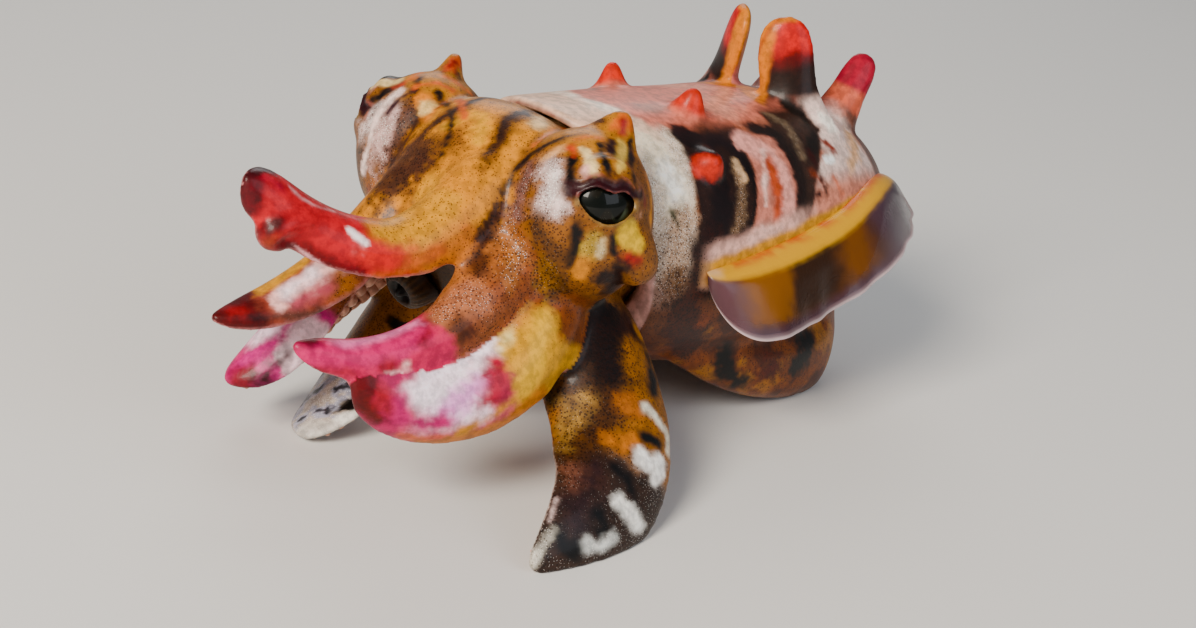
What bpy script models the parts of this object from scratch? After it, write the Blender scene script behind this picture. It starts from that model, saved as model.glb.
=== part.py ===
"""Flamboyant cuttlefish, life size, walking on its two lowest arms and its belly flaps.

Sizes and places are in millimetres and become metres where a mesh is made. The animal
faces -Y, its left side is +X, and it stands on the plane z = 0. At the end the whole model
is moved so that the middle of its box's underside is the world origin.
"""
import math
from dataclasses import dataclass

import bmesh
import bpy
import numpy as np
from mathutils import Vector

MM = 0.001
GAP = 0.3
SLOPE_GAP = 0.48
EDGE = 0.6
WELD = 0.01

MANTLE_LENGTH = 58.5
MANTLE_WIDTH = 36.5
MANTLE_TOP = 18.6
MANTLE_BELLY = 16.5
MANTLE_MIDDLE_Z = 20.5
MANTLE_WIDEST = 0.42
COLLAR_Y = -33.0
COLLAR_LOBE = 6.5
COLLAR_DEPTH = 5.5
COLLAR_WIDTH_SHARE = 0.85
COLLAR_ROLL = 0.7

EYE_BULGE = (8.0, 8.4, 9.8)
EYE_BULGE_CENTRE = (12.2, -43.6, 30.2)
EYE_CENTRE = (15.5, -45.4, 33.3)
EYE_RADIUS = 4.4
EYE_LOOK = (0.85, -0.46, 0.26)

SKIN_SIDES = 32


def unit(vector):
    """The vector at length one."""
    vector = np.asarray(vector, float)
    return vector / np.linalg.norm(vector)


def smooth_path(knots, count):
    """Points evenly spread in parameter on a Catmull-Rom curve through the knots."""
    knots = np.asarray(knots, float)
    if knots.ndim == 1:
        knots = knots[:, None]
    padded = np.vstack([2 * knots[0] - knots[1], knots, 2 * knots[-1] - knots[-2]])
    places = np.linspace(0, len(knots) - 1, count)
    made = []
    for place in places:
        i = min(int(place), len(knots) - 2)
        u = place - i
        a, b, c, d = padded[i:i + 4]
        made.append(0.5 * (2 * b + (c - a) * u + (2 * a - 5 * b + 4 * c - d) * u ** 2
                           + (3 * b - a - 3 * c + d) * u ** 3))
    return np.array(made)


def even_path(knots, count):
    """Points on the same curve at equal steps of length."""
    fine = smooth_path(knots, 400)
    run = np.concatenate([[0], np.cumsum(np.linalg.norm(np.diff(fine, axis=0), axis=1))])
    wanted = np.linspace(0, run[-1], count)
    return np.stack([np.interp(wanted, run, fine[:, k]) for k in range(fine.shape[1])], axis=1)


def mesh_object(name, bm):
    """An object from a bmesh whose faces are turned outwards."""
    bmesh.ops.recalc_face_normals(bm, faces=bm.faces)
    mesh = bpy.data.meshes.new(name)
    bm.to_mesh(mesh)
    bm.free()
    obj = bpy.data.objects.new(name, mesh)
    bpy.context.scene.collection.objects.link(obj)
    return obj


def loft(name, rings):
    """A closed skin through rings that hold the same number of points, capped at both ends."""
    bm = bmesh.new()
    verts = [bm.verts.new(Vector(point) * MM) for point in rings[0]]
    edges = list(bm.faces.new(verts).edges)
    for ring in rings[1:]:
        made = bmesh.ops.extrude_edge_only(bm, edges=edges)["geom"]
        fresh = {item for item in made if isinstance(item, bmesh.types.BMVert)}
        verts = [next(edge.other_vert(vert) for edge in vert.link_edges if edge.other_vert(vert) in fresh)
                 for vert in verts]
        for vert, point in zip(verts, ring):
            vert.co = Vector(point) * MM
        edges = [bm.edges.get((a, b)) for a, b in zip(verts, verts[1:] + verts[:1])]
    bm.faces.new(verts)
    return mesh_object(name, bm)


def ellipsoid(name, centre, radii, segments=20, rings=12, axis=None):
    """A closed ellipsoid, whose third radius runs along the axis if one is given."""
    bm = bmesh.new()
    bmesh.ops.create_uvsphere(bm, u_segments=segments, v_segments=rings, radius=1.0)
    turn = Vector((0, 0, 1)).rotation_difference(Vector(axis)) if axis is not None else None
    for vert in bm.verts:
        place = Vector([c * r for c, r in zip(vert.co, radii)])
        if turn is not None:
            place.rotate(turn)
        vert.co = (place + Vector(centre)) * MM
    return mesh_object(name, bm)


def bake(obj):
    """Makes the object's evaluated mesh its own mesh, and keeps only its largest closed surface."""
    graph = bpy.context.evaluated_depsgraph_get()
    mesh = bpy.data.meshes.new_from_object(obj.evaluated_get(graph))
    obj.modifiers.clear()
    obj.data = mesh
    bm = bmesh.new()
    bm.from_mesh(mesh)
    left, shells = set(bm.verts), []
    while left:
        shell, edge_of = set(), [left.pop()]
        while edge_of:
            vert = edge_of.pop()
            shell.add(vert)
            for edge in vert.link_edges:
                other = edge.other_vert(vert)
                if other in left:
                    left.discard(other)
                    edge_of.append(other)
        shells.append(shell)
    largest = max(shells, key=len)
    bmesh.ops.delete(bm, geom=[v for v in bm.verts if v not in largest], context="VERTS")
    bm.to_mesh(mesh)
    bm.free()
    return obj


def combine(obj, others, operation, solver="MANIFOLD", keep_others=False):
    """One Boolean of the object with a collection of the others, applied."""
    group = bpy.data.collections.new("operands")
    bpy.context.scene.collection.children.link(group)
    for other in others:
        bpy.context.scene.collection.objects.unlink(other)
        group.objects.link(other)
    made = obj.modifiers.new(operation.lower(), "BOOLEAN")
    made.operation = operation
    made.solver = solver
    made.operand_type = "COLLECTION"
    made.collection = group
    bpy.context.view_layer.update()
    bake(obj)
    for other in list(group.objects):
        if keep_others:
            group.objects.unlink(other)
            bpy.context.scene.collection.objects.link(other)
        else:
            bpy.data.objects.remove(other)
    bpy.data.collections.remove(group)
    return obj


def mantle_half_sizes(t):
    """Half width, height above and depth below the middle line at a share t of the mantle's length."""
    if t < MANTLE_WIDEST:
        back = (MANTLE_WIDEST - t) / MANTLE_WIDEST
        width = 1 - (1 - COLLAR_WIDTH_SHARE) * back ** 2
        top = 0.94 + 0.08 * back
        belly = 1 - 0.34 * back ** 1.6
    else:
        past = (t - MANTLE_WIDEST) / (1 - MANTLE_WIDEST)
        width = belly = math.sqrt(max(0.0, 1 - past ** 2.5))
        top = 0.94 * max(0.0, 1 - past ** 2.3) ** 0.52
    return MANTLE_WIDTH / 2 * width, MANTLE_TOP * top, MANTLE_BELLY * belly


def collar_reach(sines, t):
    """How far points of a ring stand forward as part of the collar's lobe over the head."""
    return COLLAR_LOBE * np.clip(sines, 0, 1) ** 3 * max(0.0, 1 - t / 0.2) ** 1.5


def mantle_ring(t, grow=0.0, sides=SKIN_SIDES):
    """Points round the mantle at a share t of its length, counted from the left side upwards."""
    width, top, belly = mantle_half_sizes(t)
    angle = np.linspace(0, 2 * math.pi, sides, endpoint=False)
    c, s = np.cos(angle), np.sin(angle)
    squareness = 2 / 2.25
    x = (width + grow) * np.sign(c) * np.abs(c) ** squareness
    height = np.where(s > 0, top + grow, belly + grow)
    z = MANTLE_MIDDLE_Z + height * np.sign(s) * np.abs(s) ** squareness
    y = COLLAR_Y + t * MANTLE_LENGTH - collar_reach(s, t)
    return np.stack([x, y, z], axis=1)


def mantle_point(t, degrees, out=0.0):
    """A point on the mantle's skin and the direction straight out of it."""
    here, ahead = (mantle_ring(k, sides=360)[int(degrees) % 360] for k in (t, t + 0.01))
    beside = mantle_ring(t, sides=360)[(int(degrees) + 2) % 360]
    normal = unit(np.cross(ahead - here, beside - here))
    return here + out * normal, normal


def mantle(name, grow=0.0):
    """The mantle as a cup: its outer skin, the lip, and the recess that takes the neck."""
    shares = 1 - (1 - np.linspace(0, 1, 22)) ** 1.25
    outer = [mantle_ring(t, grow) for t in shares[:-1]]
    outer.append(mantle_ring(0.998, grow))
    if grow:
        outer[0][:, 1] -= COLLAR_ROLL + grow
        return loft(name, outer)
    angle = np.linspace(0, 2 * math.pi, SKIN_SIDES, endpoint=False)
    inner = []
    for depth in (COLLAR_DEPTH, 3.4, 1.6, 0.5):
        near_lip = 1 - (depth - 0.5) / (COLLAR_DEPTH - 0.5)
        y = COLLAR_Y + depth - collar_reach(np.sin(angle), 0) * near_lip
        inner.append(neck_ring(y, GAP + 0.2))
    lip = outer[0] * 0.45 + inner[-1] * 0.55 + np.array([0, -COLLAR_ROLL, 0])
    return loft(name, inner + [lip] + outer)


HEAD_LINE = [(-28, 25.0), (-33, 25.4), (-38, 26.0), (-43, 27.4), (-47, 27.2), (-50.5, 25.6), (-53, 24.0),
             (-54.6, 22.8)]
HEAD_BEND_Y = -43.0
HEAD_BEND_RUN = 16.0
HEAD_HALF_WIDTH = [12.8, 13.0, 13.4, 13.8, 12.8, 10.6, 8.2, 5.2]
HEAD_HALF_HEIGHT = [11.0, 11.2, 11.3, 12.3, 11.7, 9.4, 7.0, 4.4]


def oval(centre, side, up, half_width, half_height, sides, squareness=2 / 2.2):
    """Points round an oval in the plane of the side and up directions."""
    angle = np.linspace(0, 2 * math.pi, sides, endpoint=False)
    c, s = np.cos(angle), np.sin(angle)
    a = half_width * np.sign(c) * np.abs(c) ** squareness
    b = half_height * np.sign(s) * np.abs(s) ** squareness
    return np.asarray(centre) + a[:, None] * np.asarray(side) + b[:, None] * np.asarray(up)


def neck_ring(y, grow):
    """Points round the neck at their own places y along it, for the mantle's recess."""
    line = np.array(HEAD_LINE)[::-1]
    angle = np.linspace(0, 2 * math.pi, SKIN_SIDES, endpoint=False)
    flat = oval((0, 0, 0), (1, 0, 0), (0, 0, 1), 1, 1, SKIN_SIDES)
    y = np.broadcast_to(y, angle.shape)
    width = np.interp(y, line[:, 0], HEAD_HALF_WIDTH[::-1]) + grow
    height = np.interp(y, line[:, 0], HEAD_HALF_HEIGHT[::-1]) + grow
    z = np.interp(y, line[:, 0], line[:, 1])
    return np.stack([flat[:, 0] * width, y, z + flat[:, 2] * height], axis=1)


def head_core(name, grow=0.0):
    """The neck, the head between the eyes, and the crown that the arms grow from."""
    count = 18
    line = smooth_path(HEAD_LINE, count)
    widths = smooth_path(HEAD_HALF_WIDTH, count)[:, 0] + grow
    heights = smooth_path(HEAD_HALF_HEIGHT, count)[:, 0] + grow
    ahead = np.gradient(line, axis=0)
    rings = []
    for i in range(count):
        bent = min(1.0, max(0.0, (HEAD_BEND_Y - line[i, 0]) / HEAD_BEND_RUN))
        lean = bent * math.atan2(ahead[i, 1], -ahead[i, 0])
        up = (0, math.sin(lean), math.cos(lean))
        rings.append(oval((0, *line[i]), (1, 0, 0), up, widths[i], heights[i], SKIN_SIDES))
    rings[0][:, 1] += grow
    end = rings[-1].mean(axis=0) + (rings[-1] - rings[-1].mean(axis=0)) * 0.45
    rings.append(end + unit(rings[-1].mean(axis=0) - rings[-2].mean(axis=0)) * (0.8 + grow))
    return loft(name, rings)


def mirrored(point, side):
    """The point on the animal's left (side 1) or right (side -1)."""
    return np.array([point[0] * side, point[1], point[2]])


def head_masses(grow=0.0):
    """The head's core and what swells or stands out from it: eye bulges, brow papillae, cheek lobes."""
    masses = [head_core("head_mass", grow)]
    for side in (1, -1):
        centre = mirrored(EYE_BULGE_CENTRE, side)
        masses.append(ellipsoid("bulge", centre, [radius + grow for radius in EYE_BULGE], 20, 12))
        masses.append(papilla(centre + mirrored((0.5, 2.0, 6.8), side), mirrored((0.1, 0.42, 0.9), side),
                              5.2, (4.3, 2.9, 1.3), (2.6, 1.8, 0.9), mirrored((0.7, -0.7, 0), side), grow))
        masses.append(papilla(centre + mirrored((6.0, -0.8, 0.6), side), mirrored((0.34, 0.50, -0.8), side),
                              6.9, (3.2, 3.1, 2.2), (2.6, 2.4, 1.7), mirrored((0.8, -0.5, 0.2), side), grow))
    return masses


def head(name):
    """The head in one skin, with lids round sockets that the eyes rest in."""
    body, *pieces = head_masses()
    body.name = name
    sockets = []
    for side in (1, -1):
        look = unit(mirrored(EYE_LOOK, side))
        eye_centre = mirrored(EYE_CENTRE, side)
        pieces += lids(eye_centre, look)
        sockets.append(ellipsoid("socket", eye_centre, (EYE_RADIUS + GAP,) * 3, 18, 12, look))
    combine(body, pieces, "UNION")
    combine(body, sockets, "DIFFERENCE")
    return body


def lids(eye_centre, look):
    """The upper and lower lid, each a tapered roll of skin that lies round half of the eye."""
    side = unit(np.cross((0, 0, 1), look))
    up = np.cross(look, side)
    made = []
    for start, end, thick, out in ((6, 174, 1.3, 2.7), (198, 342, 1.0, 2.6)):
        rings = []
        for degrees in np.linspace(start, end, 10):
            a = math.radians(degrees)
            share = math.sin(math.pi * (degrees - start) / (end - start))
            radial = side * math.cos(a) + up * math.sin(a)
            centre = eye_centre + radial * EYE_RADIUS * 0.84 + look * out
            radius = thick * (0.35 + 0.65 * share)
            rings.append(oval(centre, radial, look, radius, radius, 7, 1.0))
        made.append(loft("lid", rings))
    return made


def papilla(root, direction, height, half_widths, half_depths, face, grow=0.0):
    """A tapered flap with a round tip, its broad side looking along face, sunk into its root."""
    up = unit(direction)
    side = unit(np.cross(face, up))
    front = np.cross(up, side)
    count = 5
    widths = smooth_path(half_widths, count)[:, 0]
    depths = smooth_path(half_depths, count)[:, 0]
    stages = [(0.88 * i / (count - 1), widths[i], depths[i]) for i in range(count)]
    stages += [(0.97, widths[-1] * 0.68, depths[-1] * 0.68), (1.0, widths[-1] * 0.25, depths[-1] * 0.25)]
    rings = []
    for share, width, depth in stages:
        centre = np.asarray(root) + up * (height * share + grow * (2 * share - 1))
        rings.append(oval(centre, side, front, width + grow, depth + grow, 8, 1.0))
    return loft("papilla", rings)


def mantle_papillae():
    """The raised flaps of the back: low ones in front, tall ones behind the middle, a pair at the tail."""
    made = []
    for side in (1, -1):
        low, out = mantle_point(0.224, 90 - 18 * side)
        made.append(papilla(low - out * 1.6, out + np.array([0, 0.1, 0.5]), 4.6, (3.8, 2.3, 1.1),
                            (3.2, 2.0, 1.0), (side * 0.64, -0.77, 0)))
        wart, out = mantle_point(0.17, 90 - 46 * side)
        made.append(papilla(wart - out * 1.5, out, 3.3, (3.4, 2.6, 1.2), (3.0, 2.4, 1.2), (0, -1, 0.1)))
        tall, out = mantle_point(0.60, 90 - 24 * side)
        made.append(papilla(tall - out * 4.0, (-0.23 * side, -0.06, 1.0), 15.6, (6.8, 4.9, 3.5, 3.8, 3.3),
                            (4.4, 2.6, 1.6, 1.5, 1.3), (side * 0.64, -0.77, 0)))
        tail, out = mantle_point(0.745, 90 - 24 * side)
        made.append(papilla(tail - out * 3.5, (0.0, 0.62, 0.9), 13.4, (4.6, 3.1, 2.5, 2.2),
                            (3.4, 2.0, 1.3, 1.1), (side * 0.64, -0.5, 0.4)))
    return made


ARM_SECTION_OUT = np.linspace(-1, 1, 7)
ARM_SECTION_IN = np.linspace(1, -1, 6)
ARM_STEPS = 19
ARM_SPLIT = 0.52
ARM_TABLE = 61

HOOK_STEPS = 8
HOOK_HALF_WIDTHS = (2.0, 1.9, 1.6, 1.3, 0.8)
HOOK_FLATNESS = 0.72
HOOK_ROLL = (1.0, 0.0, 0.0)

SUCKER_ROWS = (-0.36, 0.36)
SUCKERS_IN_ROW = 7
SUCKER_FIRST = 0.22
SUCKER_LAST = 0.94
SUCKER_RADII = (1.2, 1.15, 0.95, 0.7, 0.5)
SUCKER_STAGES = ((-0.6, 0.78), (0.75, 1.0), (0.3, 0.5))
SUCKER_SIDES = 6
SUCKER_ROOM = 0.9


@dataclass
class Arm:
    """One arm as a blade: its route, half widths, thickness, outer faces, curl in degrees and round end.

    Its hook, where it has one, is a small tongue that curls in under the tip, given as its route.
    """

    name: str
    route: tuple
    half_widths: tuple
    thickness: tuple
    faces: tuple
    curls: tuple
    tip_share: float = 0.1
    hook: tuple = ()

    def __post_init__(self):
        line = even_path(self.route, ARM_TABLE)
        forward = np.gradient(line, axis=0)
        measures = [smooth_path(values, ARM_TABLE)
                    for values in (self.faces, self.half_widths, self.thickness, self.curls)]
        self.columns = np.hstack([line, forward] + measures).T
        self.length = float(np.linalg.norm(forward, axis=1).sum())

    def at(self, t):
        """Centre, forward, outward and side directions, half width, thickness and curl at a share t."""
        shares = np.linspace(0, 1, ARM_TABLE)
        row = np.array([np.interp(t, shares, column) for column in self.columns])
        centre, forward, face = row[0:3], unit(row[3:6]), row[6:9]
        outward = unit(face - forward * (face @ forward))
        rounding = self.end_rounding(t)
        return centre, forward, outward, np.cross(forward, outward), row[9] * rounding, row[10] * rounding, row[11]

    def end_rounding(self, t):
        """The share of its full width that the blade has near its round end."""
        past = max(0.0, (t - 1 + self.tip_share) / self.tip_share)
        return max(0.12, math.sqrt(max(0.0, 1 - past ** 2)))

    def surface(self, t, s, outer, grow=0.0, shift=0.0):
        """A point of the outer or inner side, s from -1 to 1 across the blade, and its normal."""
        centre, forward, outward, side, width, thick, curl = self.at(t)
        half = math.radians(curl) / 2
        half = half if abs(half) > 1e-3 else 1e-3
        radius = (width + grow) / half
        angle = s * half
        middle = centre + side * radius * math.sin(angle) - outward * radius * (1 - math.cos(angle))
        normal = side * math.sin(angle) + outward * math.cos(angle)
        rise = EDGE / 2 + grow + thick * (0.62 * (1 - s * s) if outer else 0.38 * (1 - abs(s) ** 3))
        sign = 1 if outer else -1
        return middle + normal * rise * sign + forward * shift, normal * sign

    def ring(self, t, grow=0.0, shift=0.0):
        """All points round the blade at a share t of its length."""
        outer = [self.surface(t, s, True, grow, shift)[0] for s in ARM_SECTION_OUT]
        inner = [self.surface(t, s, False, grow, shift)[0] for s in ARM_SECTION_IN]
        return np.array(outer + inner)

    def solid(self, name, start=0.0, end=1.0, grow=0.0):
        """The blade between two shares of its length, with a cut end or the round tip."""
        steps = max(5, round(ARM_STEPS * (end - start)))
        run = np.linspace(0, 1, steps)
        if end == 1:
            run = 1 - (1 - run) ** 1.5
        shares = start + (end - start) * run
        rings = [self.ring(t, grow) for t in shares]
        rings[0] = self.ring(start, grow, GAP / 2 if start > 0 else -grow)
        rings[-1] = self.ring(end, grow, -GAP / 2 if end < 1 else grow)
        return loft(name, rings)

    def tongue(self, grow=0.0):
        """The hook as a tapered, flattened tongue."""
        line = smooth_path(self.hook, HOOK_STEPS)
        ahead = np.gradient(line, axis=0)
        radii = smooth_path(HOOK_HALF_WIDTHS, HOOK_STEPS)[:, 0] + grow
        rings = []
        for centre, forward, radius in zip(line, ahead, radii):
            side = unit(np.cross(forward, HOOK_ROLL))
            rings.append(oval(centre, side, unit(np.cross(side, forward)), radius * HOOK_FLATNESS, radius, 8, 1.0))
        return loft("tongue", rings)


ARMS = (
    Arm("arm4_left",
        ((6, -40, 22), (12, -41.5, 18), (18, -43, 13), (23, -45.5, 8.3), (26.5, -50, 4.6),
         (28, -56, 2.2), (27.8, -62, 0.9)),
        (5.2, 6.8, 6.9, 7.2, 5.6, 2.7), (6.0, 5.0, 3.6, 2.4, 0.8),
        ((0.4, -0.3, 0.85), (0.75, -0.35, 0.55), (0.9, -0.3, 0.35)), (30, 30, 20, 10), 0.16),
    Arm("arm4_right",
        ((-6, -40, 22), (-10, -43.5, 16.5), (-11.8, -47.5, 10.8), (-11.5, -52, 6.0), (-9.8, -56.5, 2.8),
         (-7.2, -62.5, 0.9)),
        (5.2, 6.4, 6.6, 6.4, 5.8, 3.4), (6.0, 4.8, 3.4, 2.2, 0.8),
        ((-0.4, -0.3, 0.85), (-0.35, -0.75, 0.55), (0.1, -0.8, 0.6)), (30, 30, 20, 10), 0.16),
    Arm("arm3_left",
        ((6, -43, 23), (11.4, -47.5, 21.4), (14.2, -52.5, 17.6), (14.8, -58, 14.4), (13.6, -63.5, 13.4),
         (12.0, -68.5, 14.4), (10.6, -72.2, 16.2)),
        (4.8, 5.8, 5.6, 5.0, 4.4, 3.4), (5.6, 4.8, 3.4, 2.4, 0.9),
        ((0.6, -0.3, 0.7), (0.65, -0.65, 0.3), (0.5, -0.75, 0.2)), (40, 60, 80, 70), 0.2),
    Arm("arm3_right",
        ((-6, -43, 23), (-11.2, -48.5, 19.4), (-14.2, -54, 13.6), (-15.6, -58.5, 8.4), (-16.2, -62, 5.6),
         (-16.2, -65, 4.6)),
        (4.8, 5.6, 5.2, 4.4, 3.6, 2.6), (5.6, 4.8, 3.4, 2.2, 0.9),
        ((-0.6, -0.3, 0.7), (-0.7, -0.5, 0.5), (-0.6, -0.6, 0.6)), (40, 50, 60, 50), 0.2),
    Arm("arm2_left",
        ((5.5, -44, 27), (9.2, -50.5, 25.6), (11, -57, 21.9), (11, -63.5, 19.1), (9.6, -70, 18.3),
         (7.6, -74.5, 19.2), (6.4, -76.6, 20)),
        (4.8, 4.8, 3.8, 2.8, 2.3, 1.5), (5.6, 4.8, 3.4, 2.2, 0.9),
        ((0.6, -0.2, 0.8), (0.6, -0.5, 0.6), (0.4, -0.6, 0.6)), (40, 60, 80, 60), 0.12),
    Arm("arm2_right",
        ((-5.5, -44, 27), (-9.2, -50.5, 24.4), (-11, -57, 17.8), (-11.8, -62.3, 11.9), (-12.6, -66.2, 8.6),
         (-13.2, -69.4, 7.0)),
        (4.8, 5.0, 4.8, 4.5, 4.6, 4.0), (5.6, 4.8, 4.0, 3.4, 2.2),
        ((-0.6, -0.2, 0.8), (-0.3, -0.7, 0.6), (-0.1, -0.8, 0.6)), (40, 50, 60, 50), 0.2),
    Arm("arm1_left",
        ((4.0, -44, 35), (4.5, -49.5, 33.4), (4.8, -55, 29.8), (4.4, -60.5, 27.4), (3.2, -66.5, 28.0),
         (1.6, -72, 30.6), (0.4, -75.8, 33.6), (-0.4, -78.4, 35.4)),
        (4.0, 4.3, 4.0, 3.6, 3.3, 3.0), (5.2, 4.8, 3.4, 2.2, 1.0),
        ((0.2, -0.2, 1.0), (0.5, -0.3, 0.8), (0.6, -0.5, 0.6)), (30, 50, 90, 140), 0.08,
        ((1.2, -72.0, 31.0), (1.6, -74.8, 31.0), (1.4, -76.6, 30.1), (1.2, -76.3, 28.9), (1.3, -74.6, 28.3))),
    Arm("arm1_right",
        ((-4.0, -44, 35), (-4.5, -49.5, 32), (-5.2, -55, 27), (-6.2, -60.5, 22), (-7.4, -66, 18.8),
         (-8.3, -71.5, 17.2), (-9.0, -75, 17.0)),
        (4.0, 4.4, 4.4, 4.2, 3.2, 1.4), (5.2, 4.8, 3.4, 2.2, 0.9),
        ((-0.2, -0.2, 1.0), (0.05, -0.55, 0.8), (0.3, -0.65, 0.68)), (30, 50, 70, 60), 0.14),
)


def sucker(place, outward, radius):
    """A stubby cup with a hollow face, its root sunk into the skin."""
    side = unit(np.cross(outward, (0.3, 0.2, 0.9)))
    front = np.cross(outward, side)
    rings = [oval(place + outward * rise * radius, side, front, width * radius, width * radius,
                  SUCKER_SIDES, 1.0) for rise, width in SUCKER_STAGES]
    return loft("sucker", rings)


def suckers(arm, start, end, crowd, rng):
    """Two staggered rows of cups on the inner side of an arm, between two shares of its length.

    They shrink towards the tip, and one with no room beside the head, the floor, the arm's
    own cut or another arm is left out.
    """
    made = []
    for row, s in enumerate(SUCKER_ROWS):
        for i in range(SUCKERS_IN_ROW):
            share = (i + 0.5 * row) / (SUCKERS_IN_ROW - 0.5)
            t = SUCKER_FIRST + (SUCKER_LAST - SUCKER_FIRST) * share
            radius = float(np.interp(share, np.linspace(0, 1, len(SUCKER_RADII)), SUCKER_RADII))
            radius *= rng.uniform(0.93, 1.07)
            room = radius + SUCKER_ROOM
            place, outward = arm.surface(t, s, False)
            cup = place + outward * radius * 0.4
            if not start * arm.length + room < t * arm.length < (end if end < 1 else 2) * arm.length - room:
                continue
            if cup[2] > room and np.linalg.norm(crowd - cup, axis=1).min() > room:
                made.append(sucker(place, outward, radius))
    return made


def skin_points(pieces):
    """The pieces' corners in millimetres; the pieces themselves are removed."""
    points = np.array([vert.co for piece in pieces for vert in piece.data.vertices]) / MM
    for piece in pieces:
        bpy.data.objects.remove(piece)
    return points


def arms():
    """Each arm in a base and a tip, cut clear of the head and of the arms made before it."""
    made = []
    done = []
    rng = np.random.default_rng(8)
    head_points = skin_points(head_masses())
    shares = np.linspace(0, 1, 2 * ARM_STEPS)
    points = {arm.name: np.vstack([arm.ring(t) for t in shares]) for arm in ARMS}
    for arm in ARMS:
        crowd = np.vstack([head_points] + [points[name] for name in points if name != arm.name])
        base = arm.solid(arm.name + "_base", 0.0, ARM_SPLIT)
        tip = arm.solid(arm.name + "_tip", ARM_SPLIT, 1.0)
        for length, start, end in ((base, 0.0, ARM_SPLIT), (tip, ARM_SPLIT, 1.0)):
            cups = suckers(arm, start, end, crowd, rng)
            if cups:
                combine(length, cups, "UNION")
        if arm.hook:
            combine(tip, [arm.tongue()], "UNION")
        neighbours = [other.solid("grown_arm", 0.0, 1.0, GAP) for other in done]
        combine(base, head_masses(SLOPE_GAP), "DIFFERENCE")
        if neighbours:
            combine(base, neighbours, "DIFFERENCE", keep_others=True)
            combine(tip, neighbours, "DIFFERENCE")
        done.append(arm)
        made += [base, tip]
    return made


def eyes():
    """The two eyeballs, each resting in its socket."""
    made = []
    for side, label in ((1, "eye_left"), (-1, "eye_right")):
        look = unit(mirrored(EYE_LOOK, side))
        made.append(ellipsoid(label, mirrored(EYE_CENTRE, side), (EYE_RADIUS,) * 3, 18, 12, look))
    return made


FIN_START = 0.13
FIN_END = 0.965
FIN_STEPS = 24
FIN_ROWS = 6
FIN_ROOT_DEGREES = (4, 9.5, 17, 29, 33)
FIN_BREADTHS = (9.2, 10.2, 10.0, 8.8, 7.0, 4.5)
FIN_ROUND_FRONT = 0.13
FIN_ROUND_REAR = 0.25
FIN_WALL = 0.7


def fin_rounding(u):
    """The share of its full breadth that the fin has near its two round ends."""
    front = max(0.0, 1 - u / FIN_ROUND_FRONT)
    rear = max(0.0, (u - 1 + FIN_ROUND_REAR) / FIN_ROUND_REAR)
    return math.sqrt(max(0.0, 1 - front ** 2)) * math.sqrt(max(0.0, 1 - rear ** 2))


def fin(name, side):
    """One fin, a thin membrane that leaves the mantle's side level and hangs down with a waved edge."""
    bm = bmesh.new()
    grid = []
    shares = np.linspace(0, 1, FIN_STEPS) ** 1.3
    heights = np.interp(shares, np.linspace(0, 1, 61), smooth_path(FIN_ROOT_DEGREES, 61)[:, 0])
    breadths = np.interp(shares, np.linspace(0, 1, 61), smooth_path(FIN_BREADTHS, 61)[:, 0])
    for u, height, full in zip(shares, heights, breadths):
        root, out = mantle_point(FIN_START + (FIN_END - FIN_START) * u, height if side > 0 else 180 - height)
        breadth = full * fin_rounding(u) + 1.2
        droop = math.radians(-76 + 40 * u ** 1.5 + 8 * math.sin(u * 13))
        level = unit([out[0], out[1], 0])
        hanging = level * math.cos(droop) + np.array([0, 0, math.sin(droop)])
        place = root + level * (GAP + 0.3)
        row = [bm.verts.new(Vector(place) * MM)]
        for j in range(1, FIN_ROWS):
            share = min(1.0, j / 2.5)
            step = breadth / (FIN_ROWS - 1)
            place = place + unit(level * (1 - share) + hanging * share) * step
            row.append(bm.verts.new(Vector(place) * MM))
        grid.append(row)
    for a, b in zip(grid, grid[1:]):
        for j in range(FIN_ROWS - 1):
            bm.faces.new((a[j], b[j], b[j + 1]))
            bm.faces.new((a[j], b[j + 1], a[j + 1]))
    made = mesh_object(name, bm)
    wall = made.modifiers.new("wall", "SOLIDIFY")
    wall.thickness = FIN_WALL * MM
    wall.offset = 0
    return bake(made)


def belly_flap(name, side):
    """The walking flap along one lower edge of the mantle, flat where it stands on the floor."""
    line = smooth_path([(12.0, -25, 11.2), (13.4, -15, 7.8), (13.8, -6, 5.6), (13.2, 2, 4.4), (11.8, 8, 4.9),
                        (9.6, 13, 8.0)], 16)
    widths = smooth_path([0.9, 2.2, 3.0, 3.2, 2.8, 1.0], 16)[:, 0]
    heights = smooth_path([1.6, 3.8, 4.9, 5.2, 5.4, 2.4], 16)[:, 0]
    rings = [oval(mirrored(line[i], side), (1, 0, 0), (0, 0, 1), widths[i], heights[i], 12, 1.0)
             for i in range(16)]
    body = loft(name, rings)
    combine(body, [mantle("grown_mantle", GAP), slab(-20.0)], "DIFFERENCE")
    return body


def slab(depth):
    """A block below the floor plane, which trims soles flat."""
    bm = bmesh.new()
    bmesh.ops.create_cube(bm, size=1.0)
    for vert in bm.verts:
        vert.co = Vector((vert.co.x * 300, vert.co.y * 300, vert.co.z * -depth + depth / 2)) * MM
    return mesh_object("floor", bm)


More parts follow.
